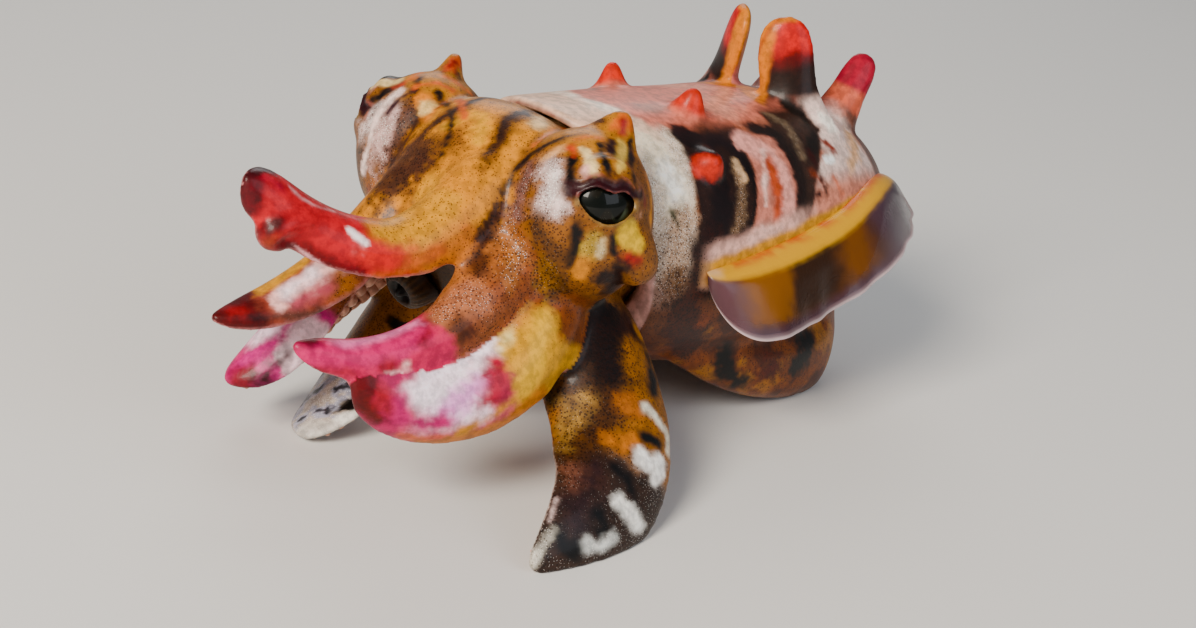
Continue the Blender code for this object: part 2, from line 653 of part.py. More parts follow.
def funnel(name):
    """The siphon under the head, an open tube that points forwards."""
    line = smooth_path([(-33.5, 12.0), (-39, 10.8), (-44, 10.6), (-48, 11.6)], 8)
    radii = smooth_path([4.6, 3.9, 3.1, 2.7], 8)[:, 0]
    ahead = np.gradient(line, axis=0)
    rings = []
    for i in range(8):
        lean = math.atan2(ahead[i, 1], -ahead[i, 0])
        up = (0, math.sin(lean), math.cos(lean))
        rings.append(oval((0, *line[i]), (1, 0, 0), up, radii[i] * 1.15, radii[i], 16, 1.0))
    mouth = rings[-1].mean(axis=0)
    bore = [mouth + (rings[-1] - mouth) * 0.7, mouth + (rings[-1] - mouth) * 0.55 + np.array([0, 4, 0])]
    body = loft(name, rings + bore)
    combine(body, head_masses(SLOPE_GAP) + [mantle("grown_mantle", GAP)], "DIFFERENCE")
    return body


def mouth(name):
    """The round lips at the middle of the arm crown, with the tips of the beak between them."""
    line = smooth_path([(-52.0, 22.4), (-54.4, 21.2), (-57.0, 19.9)], 6)
    ahead = unit([0, *(line[-1] - line[0])])
    up = np.cross((-1, 0, 0), ahead)
    up = up if up[2] > 0 else -up
    radii = smooth_path([2.9, 3.2, 2.4], 6)[:, 0]
    rings = [oval((0, *line[i]), (1, 0, 0), up, radii[i], radii[i], 14, 1.0) for i in range(6)]
    lip = rings[-1].mean(axis=0)
    rings.append(lip + (rings[-1] - lip) * 0.7 + ahead * 0.3)
    rings.append(lip + (rings[-1] - lip) * 0.6 - ahead * 1.0)
    body = loft(name, rings)
    beak = [papilla(lip - ahead * 1.6 + up * 0.45 * half, ahead - up * 0.15 * half, 2.4, (0.9, 0.8, 0.4),
                    (0.45, 0.4, 0.25), up) for half in (1, -1)]
    combine(body, beak, "UNION")
    grown = [arm.solid("grown_arm", 0.0, 1.0, GAP) for arm in ARMS]
    return combine(body, head_masses(SLOPE_GAP) + grown, "DIFFERENCE")


SKINS = {
    "mantle": ((0.46, 0.13, 0.11), 0.38),
    "head": ((0.50, 0.20, 0.03), 0.38),
    "arm_base": ((0.62, 0.22, 0.03), 0.35),
    "arm_tip": ((0.55, 0.01, 0.06), 0.30),
    "walking_arm": ((0.16, 0.09, 0.04), 0.40),
    "fin": ((0.70, 0.36, 0.08), 0.30),
    "belly_flap": ((0.20, 0.06, 0.03), 0.40),
    "funnel": ((0.52, 0.34, 0.26), 0.35),
    "mouth": ((0.50, 0.28, 0.22), 0.30),
    "eye": ((0.01, 0.01, 0.008), 0.08),
}


def skin_of(name):
    """Which of the skins a node wears."""
    if name.startswith("arm4"):
        return "walking_arm"
    if name.startswith("arm"):
        return "arm_" + name.split("_")[-1]
    return name.removesuffix("_left").removesuffix("_right")


def clean(obj):
    """Joins corners that lie closer than a hair's breadth and drops the thin faces between them."""
    bm = bmesh.new()
    bm.from_mesh(obj.data)
    bmesh.ops.triangulate(bm, faces=bm.faces)
    bmesh.ops.remove_doubles(bm, verts=bm.verts, dist=WELD * MM)
    bmesh.ops.dissolve_degenerate(bm, edges=bm.edges, dist=WELD * MM)
    bmesh.ops.triangulate(bm, faces=bm.faces)
    bm.to_mesh(obj.data)
    bm.free()


def finish(obj):
    """Rounds the shading and gives the piece its own skin, in its main colour and wetness."""
    obj.data.shade_smooth()
    obj.data.set_sharp_from_angle(angle=math.radians(50))
    colour, roughness = SKINS[skin_of(obj.name)]
    material = bpy.data.materials.new(obj.name + "_skin")
    material.use_nodes = True
    shader = material.node_tree.nodes["Principled BSDF"]
    shader.inputs["Base Color"].default_value = (*colour, 1)
    shader.inputs["Roughness"].default_value = roughness
    shader.inputs["Metallic"].default_value = 0.0
    obj.data.materials.clear()
    obj.data.materials.append(material)


def move_to_origin(nodes):
    """Moves every mesh so that the middle of the model's underside is the world origin."""
    corners = np.array([v.co for node in nodes for v in node.data.vertices])
    low, high = corners.min(axis=0), corners.max(axis=0)
    shift = Vector((-(low[0] + high[0]) / 2, -(low[1] + high[1]) / 2, -low[2]))
    for node in nodes:
        for vert in node.data.vertices:
            vert.co += shift


def main():
    """Clears the scene and builds the animal node by node."""
    for obj in list(bpy.data.objects):
        bpy.data.objects.remove(obj)
    body = mantle("mantle")
    combine(body, mantle_papillae(), "UNION")
    nodes = [body, head("head")]
    nodes += arms()
    for arm in nodes[2:]:
        if "4" in arm.name:
            combine(arm, [slab(-20.0)], "DIFFERENCE")
    nodes += eyes()
    nodes += [fin("fin_left", 1), fin("fin_right", -1)]
    nodes += [belly_flap("belly_flap_left", 1), belly_flap("belly_flap_right", -1)]
    nodes += [funnel("funnel"), mouth("mouth")]
    for node in nodes:
        clean(node)
        finish(node)
    move_to_origin(nodes)


main()
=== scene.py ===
"""The looks of a life-size flamboyant cuttlefish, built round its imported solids.

The animal's own frame is in millimetres: it faces -Y, its left side is +X and it stands on
z = 0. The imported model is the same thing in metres, moved in X and Y by a shift that is read
from the left eye's box.
"""
import logging
import math
from dataclasses import dataclass
from enum import Enum

import bmesh
import bpy
import numpy as np
from mathutils import Matrix, Vector, noise
from mathutils.bvhtree import BVHTree
from mathutils.kdtree import KDTree


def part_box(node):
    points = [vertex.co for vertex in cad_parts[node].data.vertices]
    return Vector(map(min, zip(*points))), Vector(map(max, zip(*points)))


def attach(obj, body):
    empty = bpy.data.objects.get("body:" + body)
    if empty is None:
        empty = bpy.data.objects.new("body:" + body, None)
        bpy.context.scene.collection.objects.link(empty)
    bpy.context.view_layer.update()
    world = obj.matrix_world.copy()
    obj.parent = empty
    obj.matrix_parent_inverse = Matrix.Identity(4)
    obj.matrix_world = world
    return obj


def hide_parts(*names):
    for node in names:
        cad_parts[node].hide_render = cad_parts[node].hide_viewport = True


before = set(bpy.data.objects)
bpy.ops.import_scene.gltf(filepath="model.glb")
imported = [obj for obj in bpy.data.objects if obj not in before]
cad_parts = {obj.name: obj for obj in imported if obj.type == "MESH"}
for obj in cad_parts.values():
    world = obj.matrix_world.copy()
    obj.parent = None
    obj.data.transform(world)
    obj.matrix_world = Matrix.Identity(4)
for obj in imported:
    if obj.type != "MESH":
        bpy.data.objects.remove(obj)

log = logging.getLogger("cuttlefish")
MM = 0.001

# The eyes, and the lids' upper and lower lines over the ball from its front corner to its rear one
EYE_CENTRE = (15.5, -45.4, 33.3)
EYE_RADIUS = 4.4
EYE_LOOK = (0.85, -0.46, 0.26)
LID_CLEARANCE = 0.62
LID_THICKNESS = 0.75
LID_U = (-2.8, -2.1, -1.3, -0.5, 0.4, 1.3, 2.1, 3.0)
LID_TOP = (0.5, 1.05, 1.35, 1.0, 0.62, 0.85, 0.8, -0.15)
LID_BOTTOM = (0.3, -0.8, -1.38, -1.74, -1.84, -1.64, -1.1, -0.25)

# How hex colours become skin pigments, which are deeper than paper colours
PIGMENT_SATURATION = 1.2
PIGMENT_LEVEL = 0.6
PIGMENT_PALE = 0.45

# How far from each other two nodes' skins count as one seam, and how often a seam is smoothed
SEAM_REACH = 0.8
SEAM_PASSES = 26

# The mantle, whose middle line runs level from the collar to the tail
MANTLE_LENGTH = 58.5
MANTLE_WIDTH = 36.5
MANTLE_TOP = 18.6
MANTLE_BELLY = 16.5
MANTLE_MIDDLE_Z = 20.5
MANTLE_WIDEST = 0.42
COLLAR_Y = -33.0
COLLAR_LOBE = 6.5
COLLAR_WIDTH_SHARE = 0.85
MANTLE_SQUARENESS = 2 / 2.25

LEFT = (1,)
RIGHT = (-1,)
BOTH = (1, -1)


def linear(code: str) -> np.ndarray:
    """Turns an sRGB hex colour into linear light.

    Args:
        code: Six hex digits.

    Returns:
        Red, green and blue in linear light.
    """
    channels = np.array([int(code[i:i + 2], 16) / 255 for i in (0, 2, 4)])
    return np.where(channels <= 0.04045, channels / 12.92, ((channels + 0.055) / 1.055) ** 2.4)


def pigment(code: str) -> np.ndarray:
    """Turns a skin marking's hex colour into a deep pigment, which keeps its strength in bright light.

    Args:
        code: Six hex digits.

    Returns:
        Red, green and blue in linear light.
    """
    light = linear(code)
    grey = light @ (0.2126, 0.7152, 0.0722)
    level = (PIGMENT_LEVEL + PIGMENT_PALE * light.min() / light.max()) * math.sqrt(light.max())
    return level * np.clip(grey + (light - grey) * PIGMENT_SATURATION, 0, None)


def unit(vector) -> np.ndarray:
    """Returns the vector at length one."""
    vector = np.asarray(vector, float)
    return vector / np.linalg.norm(vector)


def ramp(value: np.ndarray, low: float, high: float) -> np.ndarray:
    """Rises smoothly from 0 at low to 1 at high, or falls where low is above high."""
    t = np.clip((value - low) / (high - low), 0, 1)
    return t * t * (3 - 2 * t)


def smooth_path(knots, count: int) -> np.ndarray:
    """Samples a Catmull-Rom curve.

    Args:
        knots: The points it passes through, or plain numbers.
        count: How many samples to take, evenly in parameter.

    Returns:
        The samples, one row each.
    """
    knots = np.asarray(knots, float)
    if knots.ndim == 1:
        knots = knots[:, None]
    padded = np.vstack([2 * knots[0] - knots[1], knots, 2 * knots[-1] - knots[-2]])
    made = []
    for place in np.linspace(0, len(knots) - 1, count):
        i = min(int(place), len(knots) - 2)
        u = place - i
        a, b, c, d = padded[i:i + 4]
        made.append(0.5 * (2 * b + (c - a) * u + (2 * a - 5 * b + 4 * c - d) * u ** 2
                           + (3 * b - a - 3 * c + d) * u ** 3))
    return np.array(made)


def even_path(knots, count: int) -> np.ndarray:
    """Samples the same curve at equal steps of length.

    Args:
        knots: The points it passes through.
        count: How many samples to take.

    Returns:
        The samples, one row each.
    """
    fine = smooth_path(knots, 400)
    run = np.concatenate([[0], np.cumsum(np.linalg.norm(np.diff(fine, axis=0), axis=1))])
    wanted = np.linspace(0, run[-1], count)
    return np.stack([np.interp(wanted, run, fine[:, k]) for k in range(fine.shape[1])], axis=1)


def mirrored(point, side: int) -> np.ndarray:
    """Returns the point on the animal's left (side 1) or right (side -1)."""
    return np.array([point[0] * side, point[1], point[2]])


class Place:
    """The way between the animal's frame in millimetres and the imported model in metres."""

    def __init__(self) -> None:
        """Reads the shift from the left eye's box."""
        low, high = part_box("eye_left")
        self.shift = (np.array(low) + np.array(high)) / 2 / MM - np.array(EYE_CENTRE)

    def to_model(self, points) -> np.ndarray:
        """Turns animal millimetres into model metres."""
        return (np.asarray(points, float) + self.shift) * MM

    def to_animal(self, points) -> np.ndarray:
        """Turns model metres into animal millimetres."""
        return np.asarray(points, float) / MM - self.shift


PLACE = Place()


def select_only(obj: bpy.types.Object) -> None:
    """Leaves the object as the only one selected, and active."""
    if bpy.context.mode != "OBJECT":
        bpy.ops.object.mode_set(mode="OBJECT")
    bpy.ops.object.select_all(action="DESELECT")
    obj.select_set(True)
    bpy.context.view_layer.objects.active = obj


def added(operator, **settings) -> bpy.types.Object:
    """Runs one of Blender's add operators and returns the object that it makes."""
    bpy.ops.object.select_all(action="DESELECT")
    operator(**settings)
    return bpy.context.view_layer.objects.active


def vertex_rows(obj: bpy.types.Object, key: str) -> np.ndarray:
    """Reads one property of three numbers from every vertex, one row each."""
    flat = np.empty(len(obj.data.vertices) * 3)
    obj.data.vertices.foreach_get(key, flat)
    return flat.reshape(-1, 3)


def corners(obj: bpy.types.Object) -> np.ndarray:
    """Returns the mesh's vertices as rows, in metres."""
    return vertex_rows(obj, "co")


def normals(obj: bpy.types.Object) -> np.ndarray:
    """Returns the mesh's vertex normals as rows."""
    return vertex_rows(obj, "normal")


def nearest_of(points) -> KDTree:
    """Returns a tree that finds the nearest of the points."""
    tree = KDTree(len(points))
    for i, point in enumerate(points):
        tree.insert(point, i)
    tree.balance()
    return tree


def set_corners(obj: bpy.types.Object, points: np.ndarray) -> None:
    """Moves the mesh's vertices to the given rows, in metres."""
    obj.data.vertices.foreach_set("co", np.asarray(points, np.float32).ravel())
    obj.data.update()


def apply_modifier(obj: bpy.types.Object, kind: str, **settings) -> None:
    """Adds one modifier and applies it.

    Args:
        obj: The object that it changes.
        kind: The modifier's type.
        settings: Its properties.
    """
    select_only(obj)
    made = obj.modifiers.new(kind.lower(), kind)
    for key, value in settings.items():
        setattr(made, key, value)
    bpy.ops.object.modifier_apply(modifier=made.name)


def store(obj: bpy.types.Object, name: str, values: np.ndarray) -> None:
    """Keeps an attribute that a finish reads.

    Args:
        obj: The object.
        name: The attribute's name.
        values: One number or one colour for each vertex.
    """
    values = np.asarray(values, np.float32)
    if values.ndim == 1:
        obj.data.attributes.new(name, "FLOAT", "POINT").data.foreach_set("value", values)
        return
    colours = np.ones((len(values), 4), np.float32)
    colours[:, :3] = values
    obj.data.attributes.new(name, "FLOAT_COLOR", "POINT").data.foreach_set("color", colours.ravel())


def cloud(points: np.ndarray, size: float, octaves: int = 2, seed: float = 0.0) -> np.ndarray:
    """Smooth noise over space.

    Args:
        points: Places in millimetres.
        size: The width of its largest blobs, in millimetres.
        octaves: How many finer layers it has.
        seed: Moves to another part of the noise.

    Returns:
        One number for each place, mostly between -1 and 1.
    """
    lookup = np.asarray(points) / size + seed
    return np.array([noise.fractal(Vector(p), 0.9, 2.1, octaves) for p in lookup])


class Tree:
    """A short way to write a material's nodes."""

    def __init__(self, name: str) -> None:
        """Starts a material with its main shader.

        Args:
            name: The material's name.
        """
        self.material = bpy.data.materials.new(name)
        self.material.use_nodes = True
        self.nodes = self.material.node_tree.nodes
        self.links = self.material.node_tree.links
        self.shader = self.nodes["Principled BSDF"]

    def add(self, kind: str, inputs: dict | None = None, **settings) -> bpy.types.Node:
        """Adds one node.

        Args:
            kind: Its type's name after "ShaderNode".
            inputs: For each input's name or number, a value or the socket that feeds it.
            settings: Its other properties.

        Returns:
            The node.
        """
        node = self.nodes.new("ShaderNode" + kind)
        for key, value in settings.items():
            setattr(node, key, value)
        for key, value in (inputs or {}).items():
            self.feed(node.inputs[key], value)
        return node

    def feed(self, socket: bpy.types.NodeSocket, value) -> None:
        """Links a socket to another one, or sets its value."""
        if isinstance(value, bpy.types.NodeSocket):
            self.links.new(value, socket)
        else:
            socket.default_value = value

    def attribute(self, name: str, colour: bool = False) -> bpy.types.NodeSocket:
        """Reads a vertex attribute."""
        node = self.add("Attribute", attribute_name=name)
        return node.outputs["Color" if colour else "Fac"]

    def maths(self, operation: str, a, b=0.0, clamp: bool = False) -> bpy.types.NodeSocket:
        """Does one sum on two numbers."""
        return self.add("Math", {0: a, 1: b}, operation=operation, use_clamp=clamp).outputs[0]

    def blend(self, share, a, b, mode: str = "MIX") -> bpy.types.NodeSocket:
        """Mixes two colours.

        Args:
            share: How much of b there is, as a number or a socket.
            a: The colour at share 0.
            b: The colour at share 1.
            mode: The way they mix.

        Returns:
            The mixed colour.
        """
        node = self.add("Mix", data_type="RGBA", blend_type=mode)
        self.feed(node.inputs[0], share)
        self.feed(node.inputs[6], a)
        self.feed(node.inputs[7], b)
        return node.outputs[2]

    def rise(self, value, low: float, high: float, start: float = 0.0,
             end: float = 1.0) -> bpy.types.NodeSocket:
        """Maps a number smoothly from low..high to start..end."""
        node = self.add("MapRange", {"Value": value, "From Min": low, "From Max": high, "To Min": start,
                                     "To Max": end}, interpolation_type="SMOOTHSTEP")
        return node.outputs["Result"]

    def place(self) -> bpy.types.NodeSocket:
        """Returns the place on the piece in millimetres, so that patterns have real sizes."""
        source = self.add("TexCoord").outputs["Object"]
        return self.add("VectorMath", {0: source, "Scale": 1 / MM}, operation="SCALE").outputs[0]

    def noise(self, place, scale: float, detail: float, roughness: float = 0.5) -> bpy.types.NodeSocket:
        """Returns soft noise with the given number of blobs to the millimetre."""
        return self.add("TexNoise", {"Vector": place, "Scale": scale, "Detail": detail,
                                     "Roughness": roughness}).outputs["Fac"]

    def cells(self, place, scale: float) -> bpy.types.NodeSocket:
        """Returns the distance to the nearest of scattered spots, which are scale to the millimetre."""
        return self.add("TexVoronoi", {"Vector": place, "Scale": scale}, feature="F1").outputs["Distance"]

    def surface(self, **inputs) -> None:
        """Sets or links inputs of the main shader, whose names are written with underscores."""
        for key, value in inputs.items():
            self.feed(self.shader.inputs[key.replace("_", " ")], value)


@dataclass(frozen=True)
class SkinFinish:
    """Wet cephalopod skin: regional colour, dark and pale pigment specks, fine grain.

    Attributes:
        name: The material's name.
        roughness: How dull the wet surface is.
        grain: Height of the fine grain, in millimetres.
    """

    SAC = (0.16, 0.10, 0.08, 1)
    REFLECTOR = (0.86, 0.80, 0.74, 1)

    name: str
    roughness: float = 0.42
    grain: float = 0.06

    def build(self) -> bpy.types.Material:
        """Makes the material, which reads the vertex attributes ink, dots and gleam.

        Returns:
            Wet skin: ink with a soft mottle, dark pigment sacs over it, pale reflecting ones over those.
        """
        tree = Tree(self.name)
        place = tree.place()
        tone = tree.rise(tree.noise(place, 0.9, 3.0, 0.6), 0.35, 0.65, 0.72, 1.14)
        grey = tree.add("CombineColor", {0: tone, 1: tone, 2: tone}).outputs[0]
        base = tree.blend(1.0, tree.attribute("ink", colour=True), grey, "MULTIPLY")
        reach = tree.maths("MULTIPLY", tree.attribute("dots"), 0.62)
        inside = tree.rise(tree.maths("SUBTRACT", tree.cells(place, 3.0), reach), 0.0, -0.1)
        sac = tree.blend(1.0, base, self.SAC, "MULTIPLY")
        dark = tree.blend(tree.maths("MULTIPLY", inside, 0.85), base, sac)
        reach = tree.maths("MULTIPLY", tree.attribute("gleam"), 0.55)
        inside = tree.rise(tree.maths("SUBTRACT", tree.cells(place, 4.6), reach), 0.0, -0.08)
        colour = tree.blend(tree.maths("MULTIPLY", inside, 0.7), dark, self.REFLECTOR)
        height = tree.noise(place, 2.6, 4.0, 0.62)
        bump = tree.add("Bump", {"Strength": 0.8, "Distance": self.grain * MM, "Height": height})
        tree.surface(Base_Color=colour, Roughness=self.roughness, Normal=bump.outputs["Normal"],
                     Subsurface_Weight=0.05, Subsurface_Scale=0.5 * MM, Subsurface_Radius=(1.0, 0.4, 0.25),
                     Specular_IOR_Level=0.3, Coat_Weight=0.1, Coat_Roughness=0.14, IOR=1.37)
        return tree.material


@dataclass(frozen=True)
class MembraneFinish:
    """Thin, see-through fin membrane whose colour and cover are read from vertex attributes."""

    name: str

    def build(self) -> bpy.types.Material:
        """Makes the material, which reads the vertex attributes ink and cover."""
        tree = Tree(self.name)
        height = tree.noise(tree.place(), 1.8, 3.0)
        bump = tree.add("Bump", {"Strength": 0.7, "Distance": 0.05 * MM, "Height": height})
        tree.surface(Base_Color=tree.attribute("ink", colour=True), Alpha=tree.attribute("cover"),
                     Roughness=0.3, Normal=bump.outputs["Normal"], Specular_IOR_Level=0.3,
                     Coat_Weight=0.2, Coat_Roughness=0.15, IOR=1.38)
        return tree.material


@dataclass(frozen=True)
class EyeFinish:
    """The wet eyeball: a very dark olive iris with fine specks, and a black pupil, from attributes."""

    IRIS_SPECK = (0.10, 0.12, 0.08, 1)
    PUPIL = (0.002, 0.003, 0.002, 1)

    name: str = "eye_wet"

    def build(self) -> bpy.types.Material:
        """Makes the material, which reads the vertex attributes ink and pupil."""
        tree = Tree(self.name)
        speck = tree.rise(tree.cells(tree.place(), 5.0), 0.3, 0.0, 0.0, 0.35)
        lit = tree.blend(speck, tree.attribute("ink", colour=True), self.IRIS_SPECK)
        pupil = tree.rise(tree.attribute("pupil"), 0.12, -0.02)
        tree.surface(Base_Color=tree.blend(pupil, lit, self.PUPIL), Roughness=0.35,
                     Specular_IOR_Level=0.12, Coat_Weight=0.3, Coat_Roughness=0.05, IOR=1.36)
        return tree.material


@dataclass(frozen=True)
class PlainFinish:
    """One even colour.

    Attributes:
        name: The material's name.
        colour: Its sRGB hex code.
        roughness: How dull it is.
    """

    name: str
    colour: str
    roughness: float

    def build(self) -> bpy.types.Material:
        """Makes the material."""
        tree = Tree(self.name)
        tree.surface(Base_Color=(*linear(self.colour), 1), Roughness=self.roughness)
        return tree.material


class Side(Enum):
    """A face of an arm's blade."""

    OUTER = 1
    INNER = -1


@dataclass(frozen=True)
class ArmForm:
    """One arm's blade: route, half widths, thickness, outer faces, curl in degrees and round end."""

    STEPS = 160

    name: str
    route: tuple
    half_widths: tuple
    thickness: tuple
    faces: tuple
    curls: tuple
    tip_share: float

    def table(self) -> dict[str, np.ndarray]:
        """Returns centre, directions, half width, thickness and half curl at even steps along the arm."""
        count = self.STEPS + 1
        line = even_path(self.route, count)
        ahead = np.gradient(line, axis=0)
        ahead /= np.linalg.norm(ahead, axis=1)[:, None]
        face = smooth_path(self.faces, count)
        outward = face - ahead * (face * ahead).sum(axis=1)[:, None]
        outward /= np.linalg.norm(outward, axis=1)[:, None]
        share = np.linspace(0, 1, count)
        past = np.clip((share - 1 + self.tip_share) / self.tip_share, 0, 1)
        rounding = np.maximum(0.12, np.sqrt(1 - past ** 2))
        return {"centre": line, "outward": outward, "side": np.cross(ahead, outward),
                "width": smooth_path(self.half_widths, count)[:, 0] * rounding,
                "thick": smooth_path(self.thickness, count)[:, 0] * rounding,
                "curl": np.radians(smooth_path(self.curls, count)[:, 0]) / 2}

    def length(self) -> float:
        """Returns the arm's length along its route, in millimetres."""
        return float(np.linalg.norm(np.diff(even_path(self.route, 61), axis=0), axis=1).sum())

    def patch(self, shares: np.ndarray, across: np.ndarray,
              side: Side) -> tuple[np.ndarray, np.ndarray]:
        """Finds places on one face of the blade.

        Args:
            shares: Shares of the length.
            across: Shares across for each of them, from -1 to 1.
            side: The face they lie on.

        Returns:
            The places in animal millimetres and the directions out of the skin.
        """
        table = self.table()
        row = np.clip(np.rint(np.asarray(shares) * self.STEPS).astype(int), 0, self.STEPS)
        near = {key: value[row] for key, value in table.items()}
        half = np.maximum(near["curl"], 1e-3)
        radius = (near["width"] / half)[:, None]
        angle = (across * half)[:, None]
        middle = near["centre"] + near["side"] * radius * np.sin(angle) \
            - near["outward"] * radius * (1 - np.cos(angle))
        out = (near["side"] * np.sin(angle) + near["outward"] * np.cos(angle)) * side.value
        bulge = 0.62 * (1 - across ** 2) if side is Side.OUTER else 0.38 * (1 - np.abs(across) ** 3)
        return middle + out * (near["thick"] * bulge + 0.3)[:, None], out


ARMS = (
    ArmForm("arm4_left",
            ((6, -40, 22), (12, -41.5, 18), (18, -43, 13), (23, -45.5, 8.3), (26.5, -50, 4.6),
             (28, -56, 2.2), (27.8, -62, 0.9)),
            (5.2, 6.8, 6.9, 7.2, 5.6, 2.7), (6.0, 5.0, 3.6, 2.4, 0.8),
            ((0.4, -0.3, 0.85), (0.75, -0.35, 0.55), (0.9, -0.3, 0.35)), (30, 30, 20, 10), 0.16),
    ArmForm("arm4_right",
            ((-6, -40, 22), (-10, -43.5, 16.5), (-11.8, -47.5, 10.8), (-11.5, -52, 6.0), (-9.8, -56.5, 2.8),
             (-7.2, -62.5, 0.9)),
            (5.2, 6.4, 6.6, 6.4, 5.8, 3.4), (6.0, 4.8, 3.4, 2.2, 0.8),
            ((-0.4, -0.3, 0.85), (-0.35, -0.75, 0.55), (0.1, -0.8, 0.6)), (30, 30, 20, 10), 0.16),
    ArmForm("arm3_left",
            ((6, -43, 23), (11.4, -47.5, 21.4), (14.2, -52.5, 17.6), (14.8, -58, 14.4), (13.6, -63.5, 13.4),
             (12.0, -68.5, 14.4), (10.6, -72.2, 16.2)),
            (4.8, 5.8, 5.6, 5.0, 4.4, 3.4), (5.6, 4.8, 3.4, 2.4, 0.9),
            ((0.6, -0.3, 0.7), (0.65, -0.65, 0.3), (0.5, -0.75, 0.2)), (40, 60, 80, 70), 0.2),
    ArmForm("arm3_right",
            ((-6, -43, 23), (-11.2, -48.5, 19.4), (-14.2, -54, 13.6), (-15.6, -58.5, 8.4), (-16.2, -62, 5.6),
             (-16.2, -65, 4.6)),
            (4.8, 5.6, 5.2, 4.4, 3.6, 2.6), (5.6, 4.8, 3.4, 2.2, 0.9),
            ((-0.6, -0.3, 0.7), (-0.7, -0.5, 0.5), (-0.6, -0.6, 0.6)), (40, 50, 60, 50), 0.2),
    ArmForm("arm2_left",
            ((5.5, -44, 27), (9.2, -50.5, 25.6), (11, -57, 21.9), (11, -63.5, 19.1), (9.6, -70, 18.3),
             (7.6, -74.5, 19.2), (6.4, -76.6, 20)),
            (4.8, 4.8, 3.8, 2.8, 2.3, 1.5), (5.6, 4.8, 3.4, 2.2, 0.9),
            ((0.6, -0.2, 0.8), (0.6, -0.5, 0.6), (0.4, -0.6, 0.6)), (40, 60, 80, 60), 0.12),
    ArmForm("arm2_right",
            ((-5.5, -44, 27), (-9.2, -50.5, 24.4), (-11, -57, 17.8), (-11.8, -62.3, 11.9),
             (-12.6, -66.2, 8.6), (-13.2, -69.4, 7.0)),
            (4.8, 5.0, 4.8, 4.5, 4.6, 4.0), (5.6, 4.8, 4.0, 3.4, 2.2),
            ((-0.6, -0.2, 0.8), (-0.3, -0.7, 0.6), (-0.1, -0.8, 0.6)), (40, 50, 60, 50), 0.2),
    ArmForm("arm1_left",
            ((4.0, -44, 35), (4.5, -49.5, 33.4), (4.8, -55, 29.8), (4.4, -60.5, 27.4), (3.2, -66.5, 28.0),
             (1.6, -72, 30.6), (0.4, -75.8, 33.6), (-0.4, -78.4, 35.4)),
            (4.0, 4.3, 4.0, 3.6, 3.3, 3.0), (5.2, 4.8, 3.4, 2.2, 1.0),
            ((0.2, -0.2, 1.0), (0.5, -0.3, 0.8), (0.6, -0.5, 0.6)), (30, 50, 90, 140), 0.08),
    ArmForm("arm1_right",
            ((-4.0, -44, 35), (-4.5, -49.5, 32), (-5.2, -55, 27), (-6.2, -60.5, 22), (-7.4, -66, 18.8),
             (-8.3, -71.5, 17.2), (-9.0, -75, 17.0)),
            (4.0, 4.4, 4.4, 4.2, 3.2, 1.4), (5.2, 4.8, 3.4, 2.2, 0.9),
            ((-0.2, -0.2, 1.0), (0.05, -0.55, 0.8), (0.3, -0.65, 0.68)), (30, 50, 70, 60), 0.14),
)
NAMES = tuple(arm.name for arm in ARMS)
ROW_OF = {name: row for row, name in enumerate(NAMES)}


def mantle_half_sizes(t: float) -> tuple[float, float, float]:
    """Gives the mantle's cross-section.

    Args:
        t: Share of its length from the collar.

    Returns:
        Half width, height above the middle line and depth below it, in millimetres.
    """
    if t < MANTLE_WIDEST:
        back = (MANTLE_WIDEST - t) / MANTLE_WIDEST
        width = 1 - (1 - COLLAR_WIDTH_SHARE) * back ** 2
        top = 0.94 + 0.08 * back
        belly = 1 - 0.34 * back ** 1.6
    else:
        past = (t - MANTLE_WIDEST) / (1 - MANTLE_WIDEST)
        width = belly = math.sqrt(max(0.0, 1 - past ** 2.5))
        top = 0.94 * max(0.0, 1 - past ** 2.3) ** 0.52
    return MANTLE_WIDTH / 2 * width, MANTLE_TOP * top, MANTLE_BELLY * belly


def mantle_point(t: float, degrees: float) -> tuple[np.ndarray, np.ndarray]:
    """Finds a place on the mantle.

    Args:
        t: Share of its length from the collar.
        degrees: Angle from the left side upwards.

    Returns:
        The place in animal millimetres and the direction out of the skin.
    """
    def place(share: float, angle: float) -> np.ndarray:
        """Returns the place at a share of the length and an angle."""
        width, top, belly = mantle_half_sizes(share)
        c, s = math.cos(math.radians(angle)), math.sin(math.radians(angle))
        x = width * math.copysign(abs(c) ** MANTLE_SQUARENESS, c)
        z = MANTLE_MIDDLE_Z + (top if s > 0 else belly) * math.copysign(abs(s) ** MANTLE_SQUARENESS, s)
        lobe = COLLAR_LOBE * max(0.0, s) ** 3 * max(0.0, 1 - share / 0.2) ** 1.5
        return np.array([x, COLLAR_Y + share * MANTLE_LENGTH - lobe, z])

    here = place(t, degrees)
    out = np.cross(place(t + 0.01, degrees) - here, place(t, degrees + 2) - here)
    return here, unit(out)


@dataclass(frozen=True)
class Wash:
    """How a marking changes the skin where it lies.

    Attributes:
        ink: Its sRGB hex colour.
        dots: The share of dark specks in it, or None to leave them.
        gleam: The share of pale specks in it, or None to leave them.
        strength: How far it covers what lies below.
        lift: How far it stands proud of the skin, in millimetres.
    """

    ink: str
    dots: float | None = None
    gleam: float | None = None
    strength: float = 1.0
    lift: float = 0.0


@dataclass(frozen=True)
class Stroke:
    """A marking of one width along a path near the skin.

    Attributes:
        wash: What it does to the skin.
        path: Points in animal millimetres, on the left side.
        radius: Its half width, in millimetres.
        soft: The width of its blurred edge, in millimetres.
        sides: Where it lies: 1 left, -1 right.
        arms: The arms it keeps to, or none to lie on all the skin.
    """

    wash: Wash
    path: tuple
    radius: float
    soft: float
    sides: tuple
    arms: tuple


